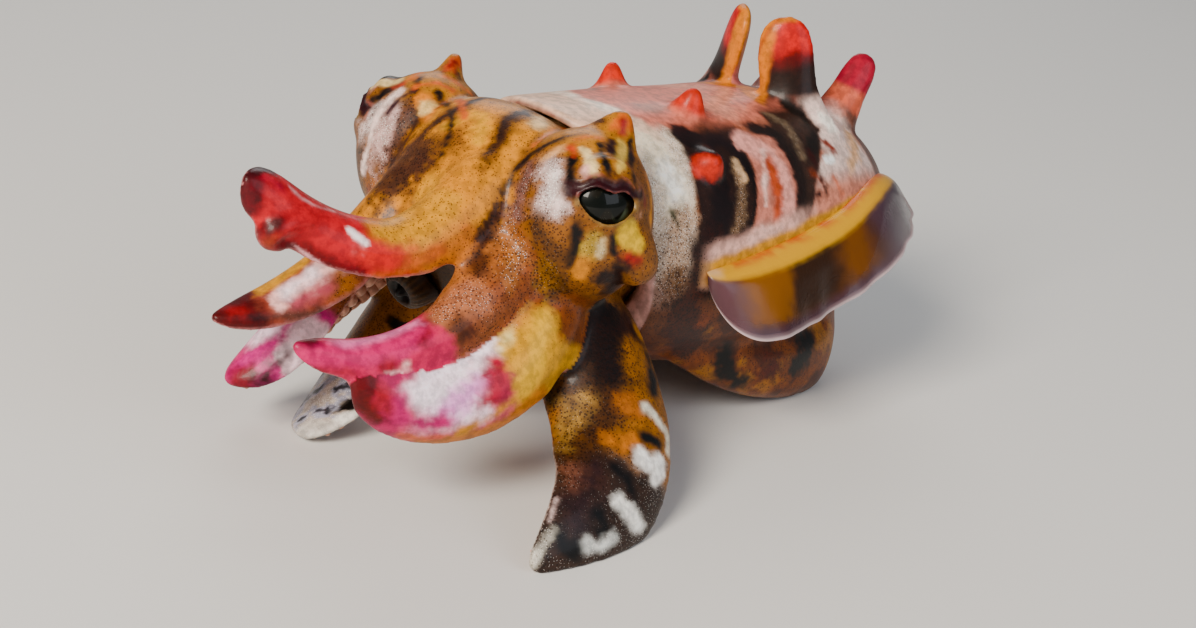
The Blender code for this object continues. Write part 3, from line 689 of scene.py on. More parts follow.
def strokes(*rows: tuple, sides: tuple = BOTH, arms: tuple = ()) -> tuple[Stroke, ...]:
    """Makes strokes that lie on the same sides and keep to the same arms.

    Args:
        rows: For each stroke its wash, half width and blurred edge, and the points of its path.
        sides: The sides they lie on.
        arms: The arms they keep to.

    Returns:
        The strokes, in order.
    """
    return tuple(Stroke(wash, path, radius, soft, sides, arms) for wash, radius, soft, *path in rows)


@dataclass(frozen=True)
class Band:
    """A marking on the mantle between two lines across it, each given as (angle, share of length) pairs.

    Attributes:
        wash: What it does to the skin.
        front: The front line.
        back: The rear line.
        low: Its lowest angle, in degrees above the mantle's side.
        high: Its highest angle.
        soft: The width of its blurred edge, in millimetres.
    """

    wash: Wash
    front: tuple
    back: tuple
    low: float
    high: float
    soft: float


# The faces of an arm that a mark can be on, and the whole breadth of the blade with its edges
OUTSIDE = (Side.OUTER,)
INSIDE = (Side.INNER,)
WHOLE = (-1.3, 1.3)


@dataclass(frozen=True)
class ArmMark:
    """A marking on an arm, between shares of its length and of its breadth.

    Attributes:
        arms: The arms that bear it.
        wash: What it does to the skin.
        along: Shares of the length between which it lies.
        across: Shares across the blade between which it lies, from -1 to 1.
        soft: The width of its blurred edge, in millimetres.
        faces: The faces that bear it.
    """

    arms: tuple
    wash: Wash
    along: tuple
    across: tuple = WHOLE
    soft: float = 1.2
    faces: tuple = OUTSIDE + INSIDE


@dataclass(frozen=True)
class ArmPlaces:
    """Where each point of a skin lies on the arm nearest to it.

    Attributes:
        number: The arm's row in the list of arms.
        t: Its share of the arm's length.
        s: Its share across the blade, from -1 to 1.
        face: The value of its side.
        on_arm: How far it belongs to the arm, from 0 on the head to 1.
        ways: The direction out of the blade there.
        proud: How far it stands out from the blade, in millimetres.
    """

    number: np.ndarray
    t: np.ndarray
    s: np.ndarray
    face: np.ndarray
    on_arm: np.ndarray
    ways: np.ndarray
    proud: np.ndarray

    @property
    def owner(self) -> np.ndarray:
        """Returns the arm's row, or -1 off the arms."""
        return np.where(self.on_arm > 0.02, self.number, -1)


class Canvas:
    """The skin's points and the colours, specks and relief that gather on them.

    Args:
        obj: The skin.
    """

    EDGE_ON_SKIN = 1.5
    EDGE_ON_ARM = 2.1

    def __init__(self, obj: bpy.types.Object) -> None:
        """Starts with even skin, and the noise that breaks up the edges of markings."""
        self.obj = obj
        self.points = PLACE.to_animal(corners(obj))
        count = len(self.points)
        self.ink = np.tile(linear("C88A50"), (count, 1))
        self.dots = np.full(count, 0.4)
        self.gleam = np.full(count, 0.1)
        self.lift = np.zeros(count)
        self.warp = cloud(self.points, 3.4, 3) * 1.3
        self.fine = cloud(self.points, 1.1, 2, 40.0)
        self.grit = cloud(self.points, 0.55, 1, 60.0)
        self.arms: ArmPlaces | None = None

    def lay(self, mask: np.ndarray, wash: Wash) -> None:
        """Lays a wash over the skin.

        Args:
            mask: How much of it each point takes, from 0 to 1.
            wash: The wash.
        """
        mask = np.clip(mask * wash.strength, 0, 1)
        self.ink += (pigment(wash.ink) - self.ink) * mask[:, None]
        if wash.dots is not None:
            self.dots += (wash.dots - self.dots) * mask
        if wash.gleam is not None:
            self.gleam += (wash.gleam - self.gleam) * mask
        self.lift += wash.lift * mask

    def stroke(self, mark: Stroke) -> None:
        """Lays a wash along a path, with its edge broken up by noise.

        Args:
            mark: The stroke.
        """
        path = np.asarray(mark.path, float)
        own = 1.0
        if mark.arms:
            own = np.isin(self.arms.owner, [ROW_OF[name] for name in mark.arms])
        for side in mark.sides:
            knots = path * (side, 1, 1)
            best = np.full(len(self.points), np.inf)
            for a, b in zip(knots, knots[1:]):
                run = b - a
                share = np.clip(((self.points - a) @ run) / (run @ run), 0, 1)
                best = np.minimum(best, np.linalg.norm(self.points - a - share[:, None] * run, axis=1))
            soft = mark.soft * (self.EDGE_ON_ARM if mark.arms else self.EDGE_ON_SKIN) + 0.1
            rough = (self.warp * 0.35 + (self.fine + self.grit) * (0.18 if mark.arms else 0.32)) * soft
            mask = ramp(best + rough, mark.radius + soft / 2, mark.radius - soft / 2)
            self.lay(mask * own, mark.wash)

    def keep(self) -> None:
        """Stores the attributes that the finish reads, and raises the relief."""
        store(self.obj, "ink", np.clip(self.ink, 0, 1))
        store(self.obj, "dots", np.clip(self.dots, 0, 1))
        store(self.obj, "gleam", np.clip(self.gleam, 0, 1))
        set_corners(self.obj, corners(self.obj) + normals(self.obj) * self.lift[:, None] * MM)


@dataclass
class Skin:
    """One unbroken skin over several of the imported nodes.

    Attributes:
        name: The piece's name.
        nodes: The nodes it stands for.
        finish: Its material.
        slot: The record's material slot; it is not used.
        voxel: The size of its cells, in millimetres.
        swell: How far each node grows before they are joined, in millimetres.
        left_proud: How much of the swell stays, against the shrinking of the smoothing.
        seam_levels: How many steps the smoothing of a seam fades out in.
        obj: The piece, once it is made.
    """

    name: str
    nodes: list[str]
    finish: SkinFinish
    slot: str
    voxel: float = 0.36
    swell: float = 0.28
    left_proud: float = 0.06
    seam_levels: int = 8
    obj: bpy.types.Object | None = None

    def rounded_copy(self, node: str) -> bpy.types.Object:
        """Copies a node and rounds its facets, keeping its sharp edges.

        Args:
            node: The node's name.

        Returns:
            The copy, grown by the swell.
        """
        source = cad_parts[node]
        copy = source.copy()
        copy.data = source.data.copy()
        copy.parent = None
        copy.matrix_world = Matrix.Identity(4)
        bpy.context.scene.collection.objects.link(copy)
        copy.data.materials.clear()
        select_only(copy)
        bpy.ops.object.mode_set(mode="EDIT")
        bpy.ops.mesh.select_all(action="SELECT")
        bpy.ops.mesh.remove_doubles(threshold=1e-6)
        bpy.ops.mesh.tris_convert_to_quads(face_threshold=math.radians(35), shape_threshold=math.radians(60))
        bpy.ops.mesh.select_mode(type="EDGE")
        bpy.ops.mesh.select_all(action="DESELECT")
        bpy.ops.mesh.edges_select_sharp(sharpness=math.radians(52))
        bpy.ops.transform.edge_crease(value=1)
        bpy.ops.object.mode_set(mode="OBJECT")
        apply_modifier(copy, "SUBSURF", levels=2, subdivision_type="CATMULL_CLARK")
        set_corners(copy, corners(copy) + normals(copy) * self.swell * MM)
        return copy

    def make(self) -> bpy.types.Object:
        """Builds the skin, paints it and hands it to the frame.

        Returns:
            The finished piece.
        """
        copies = [self.rounded_copy(node) for node in self.nodes]
        seams = self.seams(copies)
        copies += self.additions()
        select_only(copies[0])
        for copy in copies:
            copy.select_set(True)
        bpy.ops.object.join()
        self.obj = bpy.context.view_layer.objects.active
        self.obj.name = self.obj.data.name = self.name
        apply_modifier(self.obj, "REMESH", mode="VOXEL", voxel_size=self.voxel * MM, adaptivity=0.0)
        self.relax()
        self.heal(seams)
        self.paint()
        points = corners(self.obj)
        points[:, 2] = np.maximum(points[:, 2], 0)
        set_corners(self.obj, points)
        bpy.ops.object.select_all(action="DESELECT")
        self.obj.select_set(True)
        bpy.ops.object.shade_smooth()
        self.obj.data.materials.clear()
        self.obj.data.materials.append(self.finish.build())
        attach(self.obj, "root")
        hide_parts(*self.nodes)
        triangles = sum(len(face.vertices) - 2 for face in self.obj.data.polygons)
        log.info("%s: %d triangles", self.name, triangles)
        return self.obj

    def seams(self, copies: list[bpy.types.Object]) -> np.ndarray:
        """Finds where one node's skin comes close to another's.

        Args:
            copies: The rounded copies.

        Returns:
            The places, in animal millimetres.
        """
        groups = [PLACE.to_animal(corners(copy)) for copy in copies]
        owner = np.repeat(np.arange(len(groups)), [len(group) for group in groups])
        points = np.vstack(groups)
        tree = nearest_of(points)
        close = [point for i, point in enumerate(points)
                 if any(owner[j] != owner[i] for _, j, _ in tree.find_range(point, SEAM_REACH))]
        return np.array(close)

    def heal(self, seams: np.ndarray) -> None:
        """Smooths the creases that the nodes' gaps leave in the skin.

        Args:
            seams: Where they are, in animal millimetres.
        """
        if not len(seams):
            return
        tree = nearest_of(seams)
        away = np.array([tree.find(point)[2] for point in PLACE.to_animal(corners(self.obj))])
        levels = np.rint(ramp(away, 2.4, 0.9) * self.seam_levels).astype(int)
        group = self.obj.vertex_groups.new(name="seam")
        for level in range(1, self.seam_levels + 1):
            group.add(np.flatnonzero(levels == level).tolist(), level / self.seam_levels, "REPLACE")
        apply_modifier(self.obj, "SMOOTH", factor=0.6, iterations=SEAM_PASSES, vertex_group="seam")
        self.obj.vertex_groups.clear()

    def relax(self) -> None:
        """Smooths the skin's steps and draws it back to the size of the nodes."""
        apply_modifier(self.obj, "SMOOTH", factor=0.5, iterations=8)
        set_corners(self.obj, corners(self.obj) - normals(self.obj) * (self.swell - self.left_proud) * MM)
        apply_modifier(self.obj, "SMOOTH", factor=0.5, iterations=2)

    def additions(self) -> list[bpy.types.Object]:
        """Returns closed forms that join the nodes before the skin is drawn over them."""
        return []

    def paint(self) -> None:
        """Gives every vertex its regional colour and its shares of dark and pale specks."""


@dataclass(frozen=True)
class Papilla:
    """A raised flap of the back and the colours it bears.

    Attributes:
        t: Its root's share of the mantle's length.
        degrees: Its root's angle on the left side.
        sunk: How deep its root lies, in millimetres.
        direction: The way it points on the left side, or None to point out of the skin.
        height: Its length, in millimetres.
        reach: How far from its middle line its skin lies, in millimetres.
        tip: The wash of its tip.
        tip_from: The share of its height where the tip's colour starts.
    """

    t: float
    degrees: float
    sunk: float
    direction: tuple | None
    height: float
    reach: float
    tip: Wash
    tip_from: float


class MantleSkin(Skin):
    """The mantle with its papillae and belly flaps."""

    BACK = Wash("EE8C78", 0.05, 0.05)
    FLANK = Wash("A65A26", 0.6, 0.1)
    BELLY = Wash("B98D74", 0.25, 0.2)
    COLLAR_DARK = ((-20, 0.09), (11, 0.09), (25, 0.10), (38, 0.11), (49, 0.12), (62, 0.135), (75, 0.10))
    DARK_END = ((0, 0.13), (11, 0.17), (15, 0.21), (21, 0.26), (33, 0.285), (44, 0.30), (56, 0.315),
                (70, 0.33))
    SALMON_END = ((5, 0.34), (13, 0.36), (16, 0.39), (30, 0.42), (41, 0.42), (53, 0.42), (70, 0.44))
    STEM_END = ((8, 0.42), (16, 0.43), (34, 0.49), (44, 0.55), (53, 0.58), (66, 0.575), (75, 0.60))
    REAR_DARK = ((-10, 0.80), (20, 0.79), (50, 0.76), (75, 0.74))
    REAR_DARK_END = ((-10, 0.93), (20, 0.90), (50, 0.88), (75, 0.86))
    START = ((-90, -0.2), (90, -0.2))
    END = ((-90, 1.2), (90, 1.2))
    BANDS = (
        Band(Wash("8A4A26", 0.6, 0.1), START, COLLAR_DARK, -60, 0, 2.0),
        Band(Wash("A88070", 0.6, 0.35), START, COLLAR_DARK, -6, 12, 1.6),
        Band(Wash("E6D2BE", 0.42, 0.75), START, COLLAR_DARK, 8, 64, 1.2),
        Band(Wash("B49A88", 0.75, 0.5, 0.75), START, COLLAR_DARK, 4, 26, 3.0),
        Band(Wash("F4D6BC", 0.1, 0.12, 0.8), START, ((40, 0.12), (75, 0.06), (90, 0.0)), 58, 95, 1.5),
        Band(Wash("F6DCD2", 0.05, 0.4, 0.9), STEM_END, REAR_DARK, 14, 70, 2.2),
        Band(Wash("EB8C6E", 0.1, 0.1, 0.85), STEM_END, REAR_DARK, 12, 32, 2.0),
        Band(Wash("4E2C22", 0.45, 0.15), COLLAR_DARK, DARK_END, 10, 62, 1.0),
        Band(Wash("5A2412", 0.7, 0.1), COLLAR_DARK, ((-20, 0.2), (0, 0.2), (14, 0.24)), -6, 16, 2.0),
        Band(Wash("E39482", 0.05, 0.15), DARK_END, SALMON_END, 12, 56, 0.8),
        Band(Wash("F6C8BA", 0.0, 0.35, 0.9), DARK_END, SALMON_END, 8, 19, 1.4),
        Band(Wash("5E4034", 0.4, 0.15), SALMON_END, STEM_END, 12, 68, 0.9),
        Band(Wash("5A3A30", 0.4, 0.1, 0.75), REAR_DARK, REAR_DARK_END, 8, 66, 1.8),
    )
    STROKES = strokes(
        # Pink back
        (Wash("F9A890", 0.05, 0.1), 1.61, 1.98, (3.4, -11.3, 37.9), (1.1, -5.8, 37.9), (6.5, -13.6, 37.4)),
        (Wash("FBE8D8", 0.05, 0.3), 0.80, 1.15, (3.0, -32.2, 39.0), (3.9, -30.8, 38.8), (0.9, -32.2, 39.1)),
        (Wash("C98A78", 0.2, 0.1), 0.70, 1.40, (4.0, -26.0, 38.7), (4.7, -23.3, 38.4)),
        # Pale collar, and its greyer lower part
        (Wash("F6E6CC", 0.12, 0.6), 2.03, 1.13, (9.6, -31.1, 36.4), (11.1, -30.0, 35.1), (13.1, -29.7, 32.6),
         (14.4, -29.8, 30.3)),
        (Wash("FFFCF4", 0.0, 0.5), 1.13, 1.58, (12.5, -29.8, 33.6), (13.7, -29.8, 31.8)),
        (Wash("D9B69A", 0.62, 0.6), 1.92, 1.35, (15.2, -29.5, 28.1), (15.7, -29.8, 25.9),
         (15.9, -30.3, 24.1)),
        (Wash("7A7458", 0.5, 0.2), 0.39, 0.79, (14.5, -30.8, 29.6), (15.1, -30.0, 28.5)),
        (Wash("A0704A", 0.72, 0.4), 1.93, 1.59, (16.0, -30.1, 22.1), (16.3, -29.2, 20.1)),
        # Dark band behind the collar, with the small red papilla
        (Wash("34161A", 0.3, 0.05), 1.73, 0.58, (9.6, -24.3, 36.4), (11.1, -22.2, 35.4), (14.3, -23.8, 34.8),
         (14.8, -22.4, 31.2), (16.1, -23.3, 28.1), (16.7, -24.4, 25.3)),
        (Wash("3A2024", 0.3, 0.05), 0.94, 0.59, (10.4, -22.2, 35.9), (10.8, -18.5, 35.6),
         (12.3, -17.0, 34.4), (14.1, -17.0, 32.5)),
        (Wash("521E12", 0.7, 0.05), 1.61, 1.38, (16.4, -25.0, 26.0), (16.7, -25.8, 23.6),
         (16.7, -26.5, 21.5)),
        (Wash("A08064", 0.6, 0.4), 0.76, 0.70, (13.9, -18.7, 32.7), (15.3, -19.2, 30.7), (16.4, -19.9, 28.4),
         (16.7, -21.1, 26.7)),
        (Wash("EBC49C", 0.2, 0.4), 0.47, 0.47, (13.2, -18.4, 33.6), (14.5, -18.2, 32.0)),
        (Wash("2A0A08", 0.0, 0.0), 0.29, 0.24, (13.0, -16.7, 33.9), (14.8, -16.5, 31.7), (16.2, -17.2, 29.2),
         (16.9, -18.7, 26.7), (17.2, -20.9, 24.9)),
        (Wash("E8420A", 0.25, 0.0), 1.35, 0.7, (13.4, -25.0, 34.1), (14.4, -24.2, 33.9),
         (14.6, -22.8, 33.8)),
        # Salmon band with its red core
        (Wash("F7B0A4", 0.05, 0.25), 1.92, 0.60, (11.3, -14.9, 35.2), (12.7, -12.8, 34.1),
         (14.6, -11.6, 32.0), (16.4, -11.6, 29.0), (17.5, -12.2, 26.1)),
        (Wash("DC6242", 0.15, 0.05), 0.90, 0.72, (13.5, -12.9, 33.3), (15.2, -12.6, 31.3),
         (16.6, -13.3, 28.7), (17.3, -14.1, 26.4)),
        (Wash("FBD0C4", 0.0, 0.3), 0.30, 0.60, (12.5, -12.6, 34.2), (15.3, -15.0, 31.1),
         (16.3, -15.4, 29.0)),
        (Wash("FDE8E2", 0.0, 0.4), 0.77, 0.95, (17.4, -16.3, 25.5), (17.6, -13.4, 25.4),
         (17.4, -18.5, 24.9)),
        # Dark band behind it, and the rear flank
        (Wash("44302A", 0.3, 0.1), 1.22, 0.61, (9.6, -11.3, 36.0), (10.6, -8.4, 35.5), (13.1, -7.6, 33.6),
         (15.4, -7.9, 31.0), (16.9, -8.7, 28.2), (17.6, -9.8, 25.8)),
        (Wash("3C2C22", 0.3, 0.05), 0.89, 0.63, (6.5, -0.6, 37.2), (8.3, 0.2, 36.1), (11.3, -0.4, 34.6),
         (13.2, -3.1, 33.4)),
        (Wash("927B64", 0.35, 0.3), 0.56, 0.74, (7.7, -5.9, 36.8), (9.6, -4.7, 35.9), (12.1, -5.2, 34.3),
         (13.6, -5.7, 33.0)),
        (Wash("4A160C", 0.1, 0.0), 0.24, 0.37, (12.3, -8.4, 34.2), (14.7, -8.4, 31.9), (16.1, -8.3, 29.7),
         (17.6, -10.1, 25.6)),
        (Wash("A94A2C", 0.2, 0.05), 0.62, 0.87, (15.1, -5.1, 31.3), (15.8, -3.6, 30.1)),
        (Wash("5A2018", 0.2, 0.05), 0.50, 0.74, (13.4, -3.8, 33.2), (14.4, -3.6, 32.0), (16.4, -3.3, 28.9),
         (16.5, -5.9, 28.8)),
        # Painted highlights: these two white streaks on the rear flank stand in for reflections of the light
        (Wash("FFF6EA", 0.0, 0.3), 0.90, 1.03, (10.1, 2.6, 36.0), (11.0, 3.8, 34.9)),
        (Wash("FFFFFA", 0.0, 0.2), 0.38, 0.38, (14.1, -1.0, 32.1), (14.1, 0.4, 31.9)),
        (Wash("F9C69C", 0.05, 0.2), 0.91, 1.17, (9.6, 9.9, 33.3), (12.5, 7.6, 32.0), (14.1, 5.0, 30.9)),
        (Wash("B4503C", 0.1, 0.0), 0.38, 0.63, (12.1, 0.4, 33.8), (13.1, 2.0, 32.9)),
        (Wash("F48E70", 0.05, 0.1), 0.50, 0.75, (15.7, -0.4, 29.9), (16.6, 0.2, 28.0)),
        # Along the fin's root
        (Wash("FACFC6", 0.05, 0.4), 0.53, 0.59, (17.0, -24.1, 22.2), (17.2, -22.3, 23.4),
         (17.4, -19.8, 24.3), (17.6, -16.7, 24.9), (17.9, -11.5, 24.4)),
        (Wash("3A0C10", 0.1, 0.0), 0.36, 0.61, (17.7, -10.3, 25.4), (17.5, -8.8, 26.2)),
        # Flank under the fin
        (Wash("6A2A16", 0.75, 0.1), 2.33, 1.63, (16.2, -28.5, 18.8), (15.9, -26.7, 15.8),
         (14.3, -23.2, 11.9)),
        (Wash("B85C1E", 0.5, 0.1), 0.64, 0.94, (16.3, -24.2, 15.7), (16.6, -23.7, 16.5)),
        (Wash("A4561C", 0.4, 0.1), 0.66, 0.96, (14.0, -20.6, 10.3), (13.6, -21.1, 8.2)),
        (Wash("0E0608", 0.2, 0.0), 1.47, 1.23, (14.8, -17.2, 9.9), (15.3, -16.0, 7.4), (15.5, -13.7, 5.4)),
        (Wash("7C2C0C", 0.5, 0.05), 1.57, 1.45, (23.9, -21.2, 14.8), (16.5, -8.4, 6.5)),
        (Wash("120608", 0.2, 0.0), 1.55, 1.29, (16.0, -1.7, 7.9), (15.5, 1.2, 8.0), (16.7, -2.9, 5.9)),
    )
    PAPILLAE = (
        Papilla(0.224, 72, 1.6, None, 4.6, 3.4, Wash("F4480A", 0.05, 0.0), 0.42),
        Papilla(0.745, 66, 3.5, (0.0, 0.62, 0.9), 13.4, 3.6, Wash("F27A60", 0.05, 0.1), 0.40),
        Papilla(0.745, 66, 3.5, (0.0, 0.62, 0.9), 13.4, 3.6, Wash("CC0A44", 0.05, 0.0), 0.60),
    )

    def paint(self) -> None:
        """Lays the back, the flanks and every marking of the mantle."""
        canvas = Canvas(self.obj)
        x, y, z = canvas.points.T
        angle = np.degrees(np.arctan2(z - MANTLE_MIDDLE_Z, np.abs(x)))
        share = (y - COLLAR_Y) / MANTLE_LENGTH
        rough = canvas.warp * 0.9 + canvas.fine * 0.25
        canvas.lay(np.ones(len(x)), self.FLANK)
        blot = cloud(canvas.points, 4.5, 3, 55.0)
        canvas.lay(ramp(blot, 0.08, 0.34) * ramp(angle, 10, -4), Wash("6E3018", 0.5, 0.05, 0.85))
        canvas.lay(ramp(blot, -0.14, -0.4) * ramp(angle, 6, -6), Wash("CC882E", 0.5, 0.1, 0.75))
        canvas.lay(ramp(angle + canvas.warp * 5, -48, -64), self.BELLY)
        canvas.lay(ramp(angle + canvas.warp * 6, 0, 12) * ramp(share, 0.3, 0.45), Wash("D98A70", 0.2, 0.2))
        canvas.lay(ramp(angle + canvas.warp * 2, 57, 66), self.BACK)
        for band in self.BANDS:
            front, back = (np.interp(angle, *zip(*line)) for line in (band.front, band.back))
            half = band.soft / 2
            mask = ramp((share - front) * MANTLE_LENGTH + rough * band.soft * 0.6, -half, half)
            mask *= ramp((back - share) * MANTLE_LENGTH + rough * band.soft * 0.6, -half, half)
            mask *= ramp(angle + rough, band.low - 4, band.low + 4)
            mask *= ramp(angle + rough, band.high + 5, band.high - 5)
            canvas.lay(mask, band.wash)
        for mark in self.STROKES:
            canvas.stroke(mark)
        self.fin_root(canvas, angle, share)
        for papilla in self.PAPILLAE:
            self.colour_papilla(canvas, papilla)
        self.tall_pair(canvas)
        self.rim(canvas)
        canvas.keep()

    def fin_root(self, canvas: Canvas, angle: np.ndarray, share: np.ndarray) -> None:
        """Paints the pink and yellow lines that run along each fin's root.

        Args:
            canvas: The mantle's canvas.
            angle: Each point's angle above the mantle's side, in degrees.
            share: Each point's share of the mantle's length.
        """
        line = np.interp(share, (0.13, 0.32, 0.44, 0.57, 0.70, 0.9), (4.0, 9.0, 12.0, 16.0, 19.0, 20.0))
        radius = np.hypot(canvas.points[:, 0], canvas.points[:, 2] - MANTLE_MIDDLE_Z)
        above = np.radians(angle - line) * radius + canvas.warp * 0.3
        there = ramp(share, 0.10, 0.15) * ramp(share, 0.99, 0.94)
        canvas.lay(ramp(above, 4.6, 2.8) * ramp(above, -2, -1) * there * ramp(share, 0.5, 0.36),
                   Wash("F4C4B6", 0.05, 0.2, 0.9))
        canvas.lay(ramp(above, 2.4, 1.5) * ramp(above, -1.6, -0.8) * there, Wash("F7B52A", 0.05, 0.1))
        canvas.lay(ramp(above, 0.9, 0.1) * ramp(above, -1.6, -0.8) * there * ramp(canvas.warp, -0.5, 0.5),
                   Wash("E2740A", 0.05, 0.0, 0.8))

    def colour_papilla(self, canvas: Canvas, papilla: Papilla) -> None:
        """Paints one pair of papillae from the named height to the tip.

        Args:
            canvas: The mantle's canvas.
            papilla: The pair.
        """
        for side in BOTH:
            root, out = mantle_point(papilla.t, papilla.degrees if side > 0 else 180 - papilla.degrees)
            up = unit(mirrored(papilla.direction, side) if papilla.direction else out + (0, 0.1, 0.4))
            rel = canvas.points - (root - out * papilla.sunk)
            height = rel @ up
            away = np.linalg.norm(rel - height[:, None] * up, axis=1)
            start = papilla.tip_from * papilla.height
            near = ramp(away, papilla.reach + 1, papilla.reach)
            canvas.lay(near * ramp(height + canvas.warp * 0.4, start - 0.6, start + 0.6), papilla.tip)

    def tall_pair(self, canvas: Canvas) -> None:
        """Paints the tall papillae: a dark stem, a red head, an orange front rim and an orange inner face.

        Args:
            canvas: The mantle's canvas.
        """
        facing = normals(self.obj)
        for side in BOTH:
            root, out = mantle_point(0.60, 66 if side > 0 else 114)
            up = unit(mirrored((-0.23, -0.06, 1.0), side))
            rel = canvas.points - (root - out * 4.0)
            height = rel @ up
            near = ramp(np.linalg.norm(rel - height[:, None] * up, axis=1), 6.4, 5.4) * ramp(height, 4.4, 6.2)
            edge = rel @ unit(mirrored((-0.77, -0.64, 0), side)) + canvas.fine * 0.25
            h = height + canvas.warp * 0.5
            canvas.lay(near, Wash("4C2C20", 0.3, 0.1))
            canvas.lay(near * ramp(h, 8.4, 10.2), Wash("8E0A06", 0.0, 0.0))
            canvas.lay(near * ramp(h, 10.0, 11.6), Wash("EE1A0A", 0.0, 0.0))
            rim = np.maximum(ramp(edge, 3.6, 4.6), ramp(h, 14.4, 15.2))
            canvas.lay(near * rim, Wash("F8962E", 0.0, 0.05))
            inner = ramp(facing @ unit(mirrored((-0.64, 0.77, 0), side)), 0.1, 0.35)
            canvas.lay(near * inner, Wash("E88A84", 0.05, 0.1))
            canvas.lay(near * inner * ramp(h, 6.8, 9.4), Wash("F8A01E", 0.05, 0.0))

    def rim(self, canvas: Canvas) -> None:
        """Paints the collar's free edge: crimson on the back, pale pink down the sides.

        Args:
            canvas: The mantle's canvas.
        """
        x, y, z = canvas.points.T
        up = np.arctan2(z - MANTLE_MIDDLE_Z, np.abs(x))
        reach = COLLAR_Y - 0.7 - COLLAR_LOBE * np.clip(np.sin(up), 0, 1) ** 3
        behind = y - reach
        top = ramp(up, 1.0, 1.2)
        edge = ramp(behind, 0.9, 0.55)
        canvas.lay(edge * (1 - top), Wash("E9B7AE", 0.0, 0.2, 0.9))
        canvas.lay(ramp(behind, 0.75, 0.4) * top, Wash("A8322E", 0.0, 0.0))


